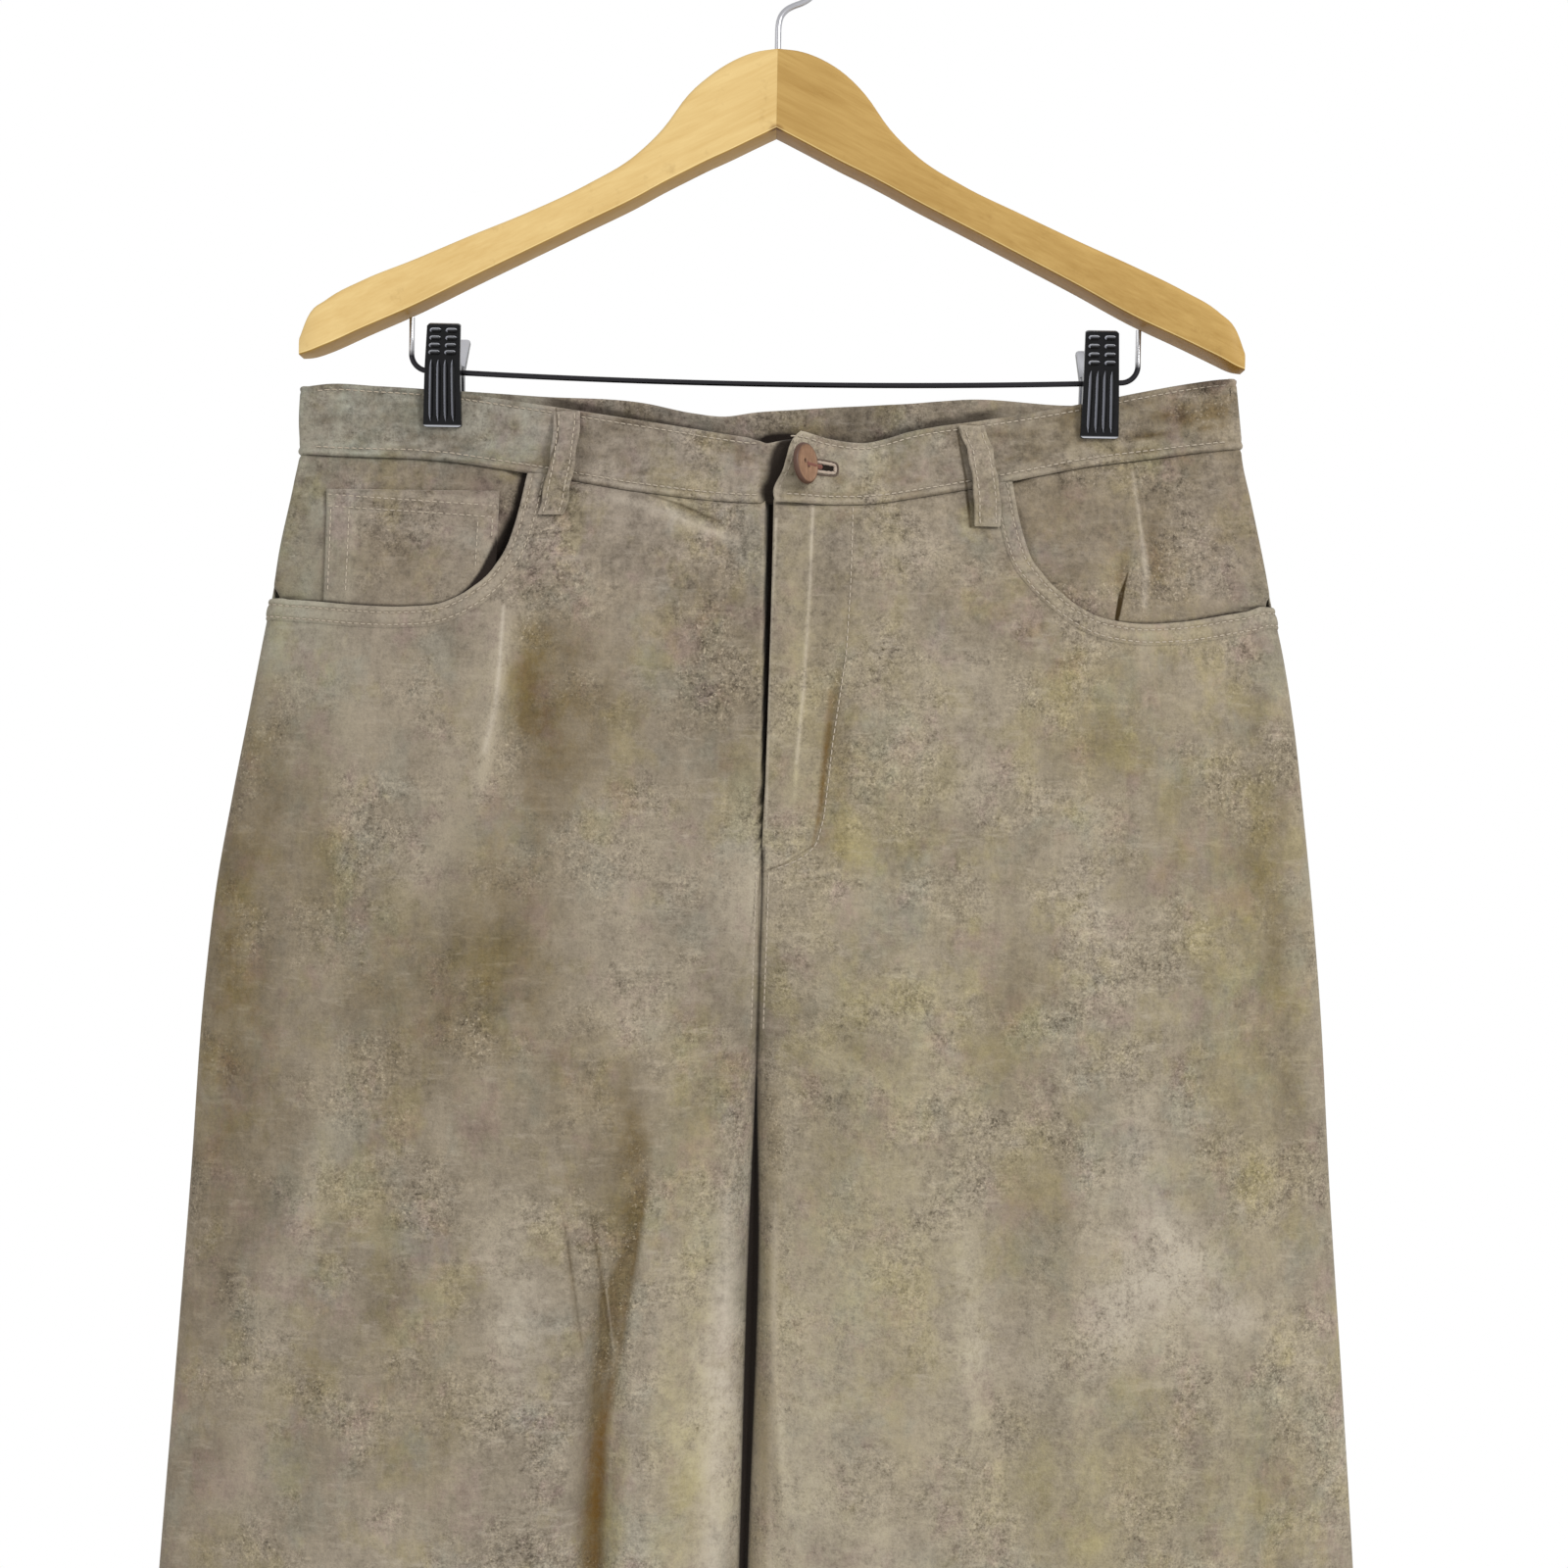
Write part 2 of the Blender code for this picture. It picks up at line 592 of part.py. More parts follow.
def build_facing(half):
    """The cloth seen inside a front pocket, from the side seam to past the pocket mouth."""
    start = side_edge(half, -290.0) - half * 12.0
    x = np.linspace(start, half * FACING_REACH, 12)
    rise = np.linspace(0.0, 1.0, 6)[:, None]
    top = waist("front_seam", x) - WAIST_GAP
    bottom = np.minimum(pocket_height(half, np.maximum(np.abs(x), POCKET[-1][0])), -300.0) - POCKET_MARGIN
    z = bottom + (top - bottom) * rise
    fold = body("fold", z[:, :1]) * math.pi / 2
    run = np.concatenate([0 * fold, fold / 2, fold, run_at(half, x + 0 * z, z)], axis=1)
    z = np.concatenate([z[:, :1]] * 3 + [z], axis=1)
    name = "pocket_facing_left" if half == LEFT else "pocket_facing_right"
    return cloth(name, half, FRONT, run, z, -FACING_LAYERS[half] * LAYER, THIN_SUEDE, colour=FACING_COLOUR)


def build_patch(name, half, corners, layers):
    """A flat-cut strip or patch, lying a number of layers inside the front."""
    left, right, top, bottom = corners
    x = np.linspace(left, right, 7)[None, :]
    z = np.linspace(bottom, top, 6)[:, None] + 0.0 * x
    reach = max(half * -right, half * -left, 0.0) + 1.0
    run = run_at(half, x + 0.0 * z, z)
    if half == RIGHT:
        run, z = run[:, ::-1], z[:, ::-1]
    return cloth(name, half, FRONT, run, z, -layers * LAYER, THIN_SUEDE, reach)


def build_loop(name, side, x_top, z_top, x_bottom, z_bottom, bow):
    """A belt loop: a strip sewn down at both ends and standing off the cloth between them."""
    half = LEFT if x_top < 0 else RIGHT
    t = np.array([0.0, 0.09, 0.17, 0.26, 0.5, 0.74, 0.83, 0.91, 1.0])[:, None]
    stand = smooth((t - 0.09) / 0.17) * smooth((0.91 - t) / 0.17)
    out = LOOP_BASE + LOOP_WALL + LOOP_CLEAR * stand
    across = np.linspace(-0.5, 0.5, 3)[None, :] * LOOP_WIDTH
    if half == RIGHT:
        across = -across
    x = x_bottom + (x_top - x_bottom) * t + bow * 4.0 * t * (1.0 - t) + across
    z = z_bottom + (z_top - z_bottom) * t + 0.0 * across
    run = run_at(half, x, z)
    cloth(name, half, side, run, z, out + 0.0 * run, LOOP_WALL, LOOP_WIDTH)


def build_button():
    """The button, turned so that its right edge meets the tab."""
    x = np.array([BUTTON_X + BUTTON_RADIUS * math.cos(BUTTON_TURN)])
    z = np.array([BUTTON_Z])
    tab = layer(RIGHT, FRONT, run_at(RIGHT, x, z), z, BAND_RISE + tab_curl(x), TAB_UNDER_X)[0]
    stand = BUTTON_RADIUS * math.sin(BUTTON_TURN) + BUTTON_THICK * math.cos(BUTTON_TURN) / 2
    place = (BUTTON_X * MM, (tab[1] - stand - BUTTON_CLEAR) * MM, BUTTON_Z * MM)
    bpy.ops.mesh.primitive_cylinder_add(vertices=28, radius=BUTTON_RADIUS * MM, depth=BUTTON_THICK * MM)
    button = bpy.context.object
    button.name = "button"
    button.rotation_mode = "XZY"
    button.rotation_euler = (math.pi / 2, BUTTON_LEAN, BUTTON_TURN)
    button.location = place
    bevel = button.modifiers.new("rounded rim", "BEVEL")
    bevel.width = 0.8 * MM
    bevel.segments = 2
    bevel.limit_method = "ANGLE"
    button.data.materials.append(material("button", (0.45, 0.25, 0.16), 0.45))
    for old in list(button.users_collection):
        old.objects.unlink(button)
    collection_for("suede_trousers_on_hanger").objects.link(button)


def loft(name, rings, colour, roughness, metallic=0.0):
    """A closed solid through rings of points, with a flat cap at each end."""
    count = len(rings[0])
    points = [tuple(np.array(p) * MM) for ring in rings for p in ring]
    faces = [tuple(range(count))[::-1]]
    for r in range(len(rings) - 1):
        for c in range(count):
            a, b = r * count + c, r * count + (c + 1) % count
            faces.append((a, b, b + count, a + count))
    faces.append(tuple(range((len(rings) - 1) * count, len(rings) * count)))
    mesh = bpy.data.meshes.new(name)
    mesh.from_pydata(points, [], faces)
    mesh.shade_smooth()
    mesh.set_sharp_from_angle(angle=math.radians(35.0))
    return add_object(name, mesh, colour, roughness, metallic)


def arm_centre_y(x):
    """Middle of an arm's thickness: the arms sweep forward towards their tips."""
    return -ARM_SWEEP * (np.abs(x) / ARM_HALF) ** 1.6


def arm_section(half, x):
    """Rounded section of a wooden arm at a distance x from the middle."""
    name = "left" if half == LEFT else "right"
    top = float(read(ARM, ARM_COLUMNS, name + "_top", x))
    bottom = float(read(ARM, ARM_COLUMNS, name + "_bottom", x))
    corner = min(ARM_ROUND, (top - bottom) * 0.3)
    half_thick = ARM_THICK / 2
    section = []
    for sign_y, sign_z in ((-1, 1), (-1, -1), (1, -1), (1, 1)):
        edge_z = top if sign_z > 0 else bottom
        near = (sign_y * half_thick, edge_z - sign_z * corner)
        far = (sign_y * (half_thick - corner), edge_z)
        section += [far, near] if sign_y * sign_z < 0 else [near, far]
    return section


def build_arm(half):
    """One wooden arm, from the joint in the middle to its rounded tip."""
    stations = [row[0] for row in ARM]
    rings = []
    for x in stations:
        y_mid = float(arm_centre_y(x))
        rings.append([(half * x, y_mid + y, z) for y, z in arm_section(half, x)])
    if half == LEFT:
        rings = [ring[::-1] for ring in rings]
    name = "hanger_arm_left" if half == LEFT else "hanger_arm_right"
    loft(name, rings, WOOD_COLOUR, 0.4)


def wire(name, points, radius, resolution=2):
    """A round wire through points, with closed ends."""
    data = bpy.data.curves.new(name, "CURVE")
    data.dimensions = "3D"
    data.bevel_depth = radius * MM
    data.bevel_resolution = resolution
    data.use_fill_caps = True
    spline = data.splines.new("POLY")
    spline.points.add(len(points) - 1)
    for place, point in zip(spline.points, points):
        place.co = (point[0] * MM, point[1] * MM, point[2] * MM, 1.0)
    return add_object(name, data, (0.62, 0.62, 0.64), 0.25, 1.0)


def arc(centre, radius, start, end, count):
    """Points of an arc in the X and Z plane, with angles in degrees from +X towards +Z."""
    angles = np.radians(np.linspace(start, end, count))
    return [(centre[0] + radius * math.cos(a), centre[1] + radius * math.sin(a)) for a in angles]


def build_hook():
    """The hook: a short stem that bends to the right, then round over the rail to the left."""
    radius = HOOK_INNER + HOOK_WIRE
    bowl = arc((0.0, -HOOK_INNER), radius, -42.0, 196.0, 27)
    points = [(x, 0.0, z) for x, z in list(HOOK_NECK) + bowl]
    wire("hanger_hook", points, HOOK_WIRE)


def build_rod():
    """The rod that carries the clips, bent up at both ends to the underside of the wood."""
    left_end, right_end = ROD_ENDS
    left_bend, right_bend = left_end + ROD_CORNER, right_end - ROD_CORNER
    level = ROD_Z + ROD_CORNER
    left = [(left_end, ROD_TOP)] + arc((left_bend, level), ROD_CORNER, 180.0, 270.0, 6)
    share = np.linspace(-1.0, 1.0, 15)[1:-1]
    middle_x = (left_bend + right_bend) / 2 + share * (right_bend - left_bend) / 2
    middle = list(zip(middle_x, ROD_Z - ROD_SAG * (1 - share ** 2)))
    right = arc((right_bend, level), ROD_CORNER, 270.0, 360.0, 6) + [(right_end, ROD_TOP)]
    wire("hanger_rod", [(x, HANG_Y, z) for x, z in left + middle + right], ROD_WIRE)


def build_clip(name, half, side, lean, drop):
    """One half of a clip: a lever with a jaw on the cloth and a seat on the rod."""
    rings = []
    for edge in (-0.5, 0.5):
        ring = []
        for out, z in CLIP_HALF:
            lever = float(smooth((z - LEVER_FOOT) / LEVER_TALL))
            x = half * (CLIP_X - lean * lever) + edge * CLIP_WIDTH
            ring.append((x, HANG_Y + side * out, z - drop * lever))
        rings.append(ring[::-1] if side == FRONT else ring)
    loft(name, rings, (0.03, 0.03, 0.035), 0.3)


def build_garment():
    """Every sewn piece, and the button."""
    for half in (LEFT, RIGHT):
        build_front(half)
        build_back(half)
        build_front_band(half)
        build_facing(half)
    build_back_band()
    coin_bottom = float(pocket_height(LEFT, 190.0)) - 6.0
    build_patch("coin_pocket", LEFT, (COIN_LEFT, COIN_RIGHT, COIN_TOP, coin_bottom), COIN_LAYERS)
    fly_top = float(waist("front_seam", 0.0)) - 2.0
    build_patch("fly_zip", RIGHT, (ZIP_LEFT, ZIP_RIGHT, fly_top, FLY_BOTTOM + 6.0), ZIP_LAYERS)
    shield = (SHIELD_LEFT, SHIELD_RIGHT, fly_top, FLY_BOTTOM - 4.0)
    build_patch("fly_shield", RIGHT, shield, SHIELD_LAYERS)
    for row in LOOPS:
        build_loop(*row)
    build_button()


def build_hanger():
    """The wooden arms, the hook, the rod and the clips."""
    for half in (LEFT, RIGHT):
        build_arm(half)
    for row in CLIPS:
        build_clip(*row)
    build_hook()
    build_rod()


for leftover in list(bpy.data.objects):
    bpy.data.objects.remove(leftover)
build_garment()
build_hanger()
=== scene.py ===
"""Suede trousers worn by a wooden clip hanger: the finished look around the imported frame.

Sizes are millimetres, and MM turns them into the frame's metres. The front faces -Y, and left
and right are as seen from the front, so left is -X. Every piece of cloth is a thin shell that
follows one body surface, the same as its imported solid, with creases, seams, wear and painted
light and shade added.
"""
import math

import bpy
import numpy as np
from mathutils import Euler, Matrix, Vector


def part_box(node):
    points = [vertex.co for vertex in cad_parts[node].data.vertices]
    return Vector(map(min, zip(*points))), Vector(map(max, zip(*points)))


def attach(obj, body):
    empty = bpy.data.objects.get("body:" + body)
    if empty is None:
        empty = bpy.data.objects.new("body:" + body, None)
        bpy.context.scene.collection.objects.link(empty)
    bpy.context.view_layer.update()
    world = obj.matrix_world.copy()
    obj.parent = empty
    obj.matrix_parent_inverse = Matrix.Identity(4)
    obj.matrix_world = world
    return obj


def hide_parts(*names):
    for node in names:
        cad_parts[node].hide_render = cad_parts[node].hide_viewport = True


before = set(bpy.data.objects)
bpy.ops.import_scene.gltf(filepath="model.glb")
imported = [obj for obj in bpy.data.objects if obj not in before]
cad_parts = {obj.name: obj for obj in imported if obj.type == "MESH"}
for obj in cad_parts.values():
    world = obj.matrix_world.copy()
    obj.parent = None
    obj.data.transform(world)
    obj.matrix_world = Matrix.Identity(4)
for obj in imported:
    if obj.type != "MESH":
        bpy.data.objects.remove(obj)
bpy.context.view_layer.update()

MM = 0.001
LEFT, RIGHT = -1.0, 1.0
FRONT, BACK = -1.0, 1.0
HALF_NAME = {LEFT: "left", RIGHT: "right"}
SIDE_NAME = {FRONT: "front", BACK: "back"}

# Cloth thicknesses, the step from one layer to the next, and how far the waistband stands out
SUEDE = 1.2
BAND = 2.4
THIN_SUEDE = 1.0
LAYER = 1.8
BAND_RISE = 0.6

# Waistband: its usual height, the level at which its ends leave the side folds, and the tab's foot
BAND_TALL = 32.6
BAND_SIDE_Z = -240.0
TAB_FOOT_Z = -275.0

# Levels of the garment, below the hook's inner top, and the plane between its front and back
CROTCH_Z = -536.0
CROTCH_TURN = 92.0
BACK_SEAM_Z = -254.0
HEM_Z = -1300.0
HEM_TALL = 25.0
HANG_Y = -16.0

# Half the gap between two sewn pieces, and how far a middle seam's sides lap into it
SEAM_HALF = 0.15
SEAM_LAP = 0.3

# The garment's outline and depth at each level
BODY_COLUMNS = ("z", "left", "right", "fold", "front", "back")
BODY = (
    (-1300, -298, 302, 10, 31, 25),
    (-1000, -289, 293, 10, 29, 22),
    (-778, -277.6, 282.9, 9, 29, 22),
    (-686, -271.7, 275.9, 9, 30, 22),
    (-594, -266, 268.4, 9, 31, 22),
    (-500, -260.7, 261.8, 9, 32, 22),
    (-455, -256, 257.4, 8.7, 31.5, 21.5),
    (-415, -249.5, 252.8, 8.5, 31, 21),
    (-373, -242, 247.5, 8, 30, 20),
    (-328, -234, 239, 7, 28, 18),
    (-320, -232.5, 236.9, 7, 28, 18),
    (-300, -229.7, 232.8, 6.5, 27.2, 17.2),
    (-268, -223.4, 225.6, 5.6, 26, 16),
    (-250, -220.5, 221.4, 4.5, 25, 15),
    (-240, -221, 220.3, 4.2, 24.2, 14.4),
    (-212, -219.8, 217.2, 3.2, 22, 13),
)

# The line where the two halves meet, and how far each leg's inner edge lies from it
CENTRE_COLUMNS = ("z", "centre", "left_leg", "right_leg")
CENTRE = (
    (-1300, -3.5, 5, 4.5),
    (-778, -3.5, 2.5, 2),
    (-610, -1.5, 2.5, 2.5),
    (-536, -1.5, 0.15, 0.15),
    (-440, 0, 0.15, 0.15),
    (-212, 0, 0.15, 0.15),
)

# The waist seam and the top of the waistband, front and back
WAIST_COLUMNS = ("x", "front_seam", "front_top", "back_seam", "back_top")
WAIST = (
    (-220, -254, -223, -254, -223),
    (-208, -254.3, -221.3, -254, -221.3),
    (-185, -254.8, -221.9, -253.8, -221.6),
    (-160, -255.5, -223.1, -253.5, -222.4),
    (-110, -262, -229.5, -255, -224.6),
    (-60, -270.8, -238, -256, -226),
    (-38, -273.6, -241.8, -257.5, -229.8),
    (-22, -275.2, -244.5, -258.3, -231),
    (-8, -275.9, -246.2, -259, -228.8),
    (13, -275.6, -243.2, -257.5, -227.1),
    (27, -275.8, -246, -256.5, -226.1),
    (45, -275, -246.9, -255.5, -225.2),
    (54, -273.8, -244.5, -255, -224.7),
    (63, -272, -241.3, -254.3, -224.3),
    (78, -269, -237.6, -253.2, -223.2),
    (90, -266.5, -235.4, -252, -222.4),
    (160, -251.5, -221.4, -251.5, -222.6),
    (173, -249.5, -218.6, -249.5, -218.8),
    (196, -246.3, -214.1, -246.3, -214.3),
    (210, -244.6, -212, -244.6, -212.2),
    (220, -243.5, -211.3, -243.5, -211.3),
)

# Clips hold the two layers together at the waist, and let go of them below
CLIP_X = 153.5
PINCH_HALF = 2.3
PINCH_SPREAD = 3.4
PINCH_EDGE = -246.0
PINCH_SPAN = 143.0
PINCH_FROM, PINCH_TO = -246.0, -345.0

# Distance over which the cloth swells to its full depth, from the side and from the inner seam
SIDE_SWELL, INNER_SWELL = 110.0, 75.0

# Mouth of the front pockets, from the side seam to the waist seam
POCKET_COLUMNS = ("x", "left_z", "right_z")
POCKET = (
    (236, -323.5, -319.5),
    (215, -324.5, -323.5),
    (190, -326.5, -328),
    (165, -327, -329),
    (149, -325, -325.5),
    (136, -318, -317),
    (126, -308, -307),
    (119, -294, -295),
    (114.5, -276, -277),
    (112, -262.5, -262.5),
)

# A pocket's facing: how far it goes on below the mouth, and its inner edge's distance from the middle
POCKET_MARGIN = 15.0
FACING_REACH = 104.0

# Distance of the two rows of stitches from a mouth's edge
LIP_STITCHES = (2.1, 7.7)

# Coin pocket: its edges, and how far its top drops from left to right
COIN_LEFT, COIN_RIGHT, COIN_TOP = -207.0, -126.5, -271.0
COIN_SLOPE = 4.6

# Fly, waistband tab, button and buttonhole
FLY_BOTTOM = -440.0
FLY_EDGE_COLUMNS = ("z", "x")
FLY_EDGE = ((-430.0, 0.4), (-405.0, 0.8), (-350.0, 1.6), (-293.0, 2.3), (-270.0, 2.4))
FLY_UNDER = 9.0
FLY_STEP = 1.8
FLY_LIFT = 2.2
SHIELD_LEFT, SHIELD_RIGHT = -22.0, 34.0
ZIP_LEFT, ZIP_RIGHT = 11.0, 32.0
TAB_COLUMNS = ("height", "x")
TAB = ((0.0, 2.4), (0.14, 1.7), (0.45, 6.0), (0.7, 7.8), (0.9, 10.6), (1.0, 13.6))
TAB_UNDER_X = 25.0
TAB_STEP = (-5.0, -1.5)
TAB_DROP = 2.8
TAB_CURL = 4.0
BUTTON_RADIUS, BUTTON_THICK = 9.5, 2.6
BUTTON_TURN = math.radians(58.0)
BUTTON_LEAN = math.radians(-5.0)
HOLE_X, HOLE_Z = 22.6, -259.5
HOLE_SLOPE = 0.09

# Large folds of the body surface, where a depth above 0 is a ridge and below 0 a trough, with
# columns z_top, z_bottom, x_top, x_mid, x_bottom, width, depth
FRONT_FOLDS = (
    (-322, -500, -119, -127, -140, 12, 5),
    (-330, -560, -112, -97, -108, 20, -5),
    (-585, -1060, -50, -74, -66, 13, -11),
    (-560, -1000, -30, -40, -38, 17, 4),
    (-545, -820, 124, 116, 122, 18, -5),
    (-700, -1360, -165, -180, -186, 26, -7),
    (-680, -1360, 78, 90, 96, 26, -7),
    (-760, -1360, 190, 205, 210, 24, 5),
)
BACK_FOLDS = (
    (-330, -560, 108, 96, 112, 20, -5),
    (-600, -1120, 66, 84, 80, 16, -9),
    (-640, -1360, -120, -140, -146, 24, -8),
    (-720, -1360, 176, 188, 196, 26, -6),
)
FOLDS = {FRONT: FRONT_FOLDS, BACK: BACK_FOLDS}

# Creases laid on that surface, each along a curve through three points: reach to the left and
# right of the curve, height, and tone, which above 0 is worn light and below 0 is painted shade,
# with columns x1, z1, x2, z2, x3, z3, left, right, height, tone
FRONT_CREASES = (
    # Below the left pocket
    (-118.5, -318, -122, -372, -134, -432, 7, 2.6, 1.7, 0.85),
    (-110, -326, -108, -380, -103, -470, 4, 12, -1, -0.35),
    # The deep crease of the left leg, what leads into it and the small ones beside it
    (-56.5, -620, -71, -714, -72, -960, 7, 3, -3.6, -1.15),
    (-48, -560, -56, -626, -67, -705, 5, 1.6, -1.6, -0.7),
    (-57, -540, -57, -590, -60, -650, 8, 6, -0.6, -0.45),
    (-52, -660, -60, -740, -62, -960, 6, 5, 1.8, 0.2),
    (-88.4, -600, -84.1, -630, -78.7, -668, 1.4, 1.1, -0.8, -0.55),
    (-75.5, -600, -69.8, -638, -66.5, -682, 1.4, 1.1, -0.8, -0.55),
    (-73.2, -600, -67.6, -638, -64.3, -682, 1, 1.2, 0.5, 0.5),
    # Beside the fly's top, and across the left thigh
    (-48, -277, -35, -281, -18, -288.5, 2.4, 1.8, -1.3, -0.7),
    (-86, -274, -55, -279, -24, -292, 4, 6, 0.9, 0.45),
    (-104, -524, -70, -528, -39, -522, 2.5, 2.5, 0.5, 0.4),
    (-92, -541, -62, -546, -36, -536, 6, 6, -0.5, -0.12),
    # Soft folds of the left leg
    (-190, -345, -200, -450, -215, -560, 16, 14, 0.9, 0.1),
    (-160, -560, -172, -640, -176, -760, 12, 10, -1.3, -0.2),
    (-215, -600, -228, -680, -236, -790, 9, 12, 1, 0.15),
    (-120, -640, -128, -720, -140, -810, 10, 8, 1, 0.2),
    (-196, -600, -203, -690, -214, -800, 7, 9, -1, -0.2),
    (-6, -522, -28, -560, -50, -640, 7, 9, -1.1, -0.2),
    (-10, -500, -36, -518, -72, -536, 6, 6, -0.6, -0.15),
    (-5, -690, -12, -740, -26, -815, 3, 4, 1.2, 0.5),
    (-230, -820, -236, -980, -240, -1180, 12, 10, -1.8, -0.2),
    (-120, -900, -112, -1050, -118, -1260, 12, 14, 1.7, 0.2),
    (-35, -900, -40, -1060, -36, -1250, 10, 9, -1.5, -0.2),
    (-206, -880, -170, -893, -140, -884, 5, 5, -0.9, -0.2),
    (-92, -930, -70, -945, -45, -938, 4, 4, -0.6, -0.2),
    # Beside the fly's bottom and the right leg's inner edge
    (37, -334, 28.3, -390, 25, -436, 1.8, 1.3, -1.1, -0.65),
    (6, -517, 26, -560, 44, -640, 9, 7, -1, -0.15),
    (8, -500, 34, -520, 72, -536, 6, 6, -0.5, -0.1),
    (8.5, -585, 9.5, -670, 18, -775, 3, 2.5, 1.3, 0.6),
    # Soft folds of the right leg
    (94, -590, 98, -650, 106, -722, 8, 6, 1.7, 0.5),
    (118, -560, 117, -640, 123, -720, 7, 11, -1.4, -0.3),
    (48, -290, 75, -301, 98, -297, 6, 6, 0.6, 0.3),
    (70, -330, 66, -390, 60, -450, 14, 12, 0.7, 0.1),
    (150, -345, 158, -420, 170, -500, 12, 10, -1, -0.2),
    (196, -340, 206, -430, 216, -520, 10, 12, 1, 0.15),
    (232, -420, 242, -520, 250, -640, 7, 7, -1, -0.2),
    (205, -600, 214, -680, 222, -790, 9, 9, 1.1, 0.2),
    (168, -650, 176, -715, 182, -800, 10, 12, -1.2, -0.2),
    (60, -600, 66, -680, 70, -790, 10, 12, -0.9, -0.15),
    (140, -600, 150, -660, 150, -760, 9, 10, 0.9, 0.2),
    (232, -690, 240, -745, 247, -810, 6, 8, -0.9, -0.2),
    (52, -860, 60, -1000, 58, -1240, 12, 10, 1.7, 0.2),
    (140, -880, 150, -1040, 146, -1280, 14, 12, -2, -0.25),
    (250, -860, 256, -1020, 258, -1240, 10, 12, -1.6, -0.2),
    (110, -900, 140, -915, 172, -905, 5, 5, -0.9, -0.2),
    # The right pocket's facing
    (166, -257, 171, -290, 170, -327, 3.2, 2.2, 1.6, 0.45),
    (176, -270, 180, -295, 178, -318, 4, 7, -1, -0.4),
    (151, -300, 154, -314, 150, -327, 7, 6, 1.6, 0.55),
    (125, -282, 145, -281, 163, -276, 2.5, 2.5, 0.4, 0.4),
    (128, -300, 146, -297, 163, -291, 2.5, 2.5, 0.4, 0.35),
    (185, -320, 197, -303, 214, -285, 3, 3, 0.5, 0.35),
    (190, -312, 204, -296, 218, -280, 4, 4, -0.6, -0.4),
    # Waistband, front
    (162, -240.5, 176, -239, 196, -236.5, 1.7, 1.3, -0.9, -0.8),
    (172, -231, 196, -230, 220, -224, 2.6, 2.6, -0.7, -0.5),
    (168, -235.5, 196, -234.5, 221, -230, 2, 2, 0.5, 0.4),
    (-198, -244, -182, -238, -165, -236, 2.5, 2.5, -0.5, -0.35),
    (-86, -238, -88, -254, -90, -270, 6, 6, -0.6, -0.2),
    (-58, -238, -56, -255, -55, -272, 8, 8, 0.7, 0.2),
    (-30, -242, -28, -258, -27, -275, 7, 7, -0.7, -0.15),
    (62, -240, 61, -255, 60, -271, 8, 7, -0.5, -0.15),
)
BACK_CREASES = (
    (-180, -340, -190, -430, -196, -540, 12, 10, -1.2, -0.2),
    (150, -330, 160, -420, 172, -520, 10, 12, 1.2, 0.2),
    (-90, -300, -96, -380, -92, -470, 12, 12, 0.9, 0.15),
    (70, -300, 62, -380, 58, -470, 10, 12, -0.9, -0.15),
    (-18, -540, -60, -570, -112, -598, 8, 10, -1.6, -0.25),
    (16, -545, 62, -575, 118, -600, 10, 8, -1.5, -0.25),
    (-30, -575, -75, -606, -130, -626, 7, 7, -1, -0.2),
    (-60, -650, -58, -760, -66, -900, 9, 8, -1.8, -0.25),
    (230, -640, 240, -760, 246, -900, 10, 8, 1.4, 0.2),
    (-235, -700, -246, -820, -250, -960, 8, 10, 1.5, 0.2),
    (40, -700, 44, -850, 40, -1020, 8, 8, 1.6, 0.25),
    (-212, -850, -170, -871, -120, -860, 7, 8, -1.8, -0.3),
    (-200, -886, -165, -900, -128, -893, 6, 6, -1.2, -0.25),
    (110, -860, 160, -886, 216, -870, 8, 7, -1.9, -0.3),
    (125, -905, 160, -918, 200, -908, 5, 6, -1.1, -0.2),
    (-110, -960, -118, -1100, -112, -1275, 13, 11, -1.6, -0.2),
    (150, -980, 146, -1120, 152, -1285, 12, 12, 1.6, 0.2),
)
CREASES = {FRONT: FRONT_CREASES, BACK: BACK_CREASES}
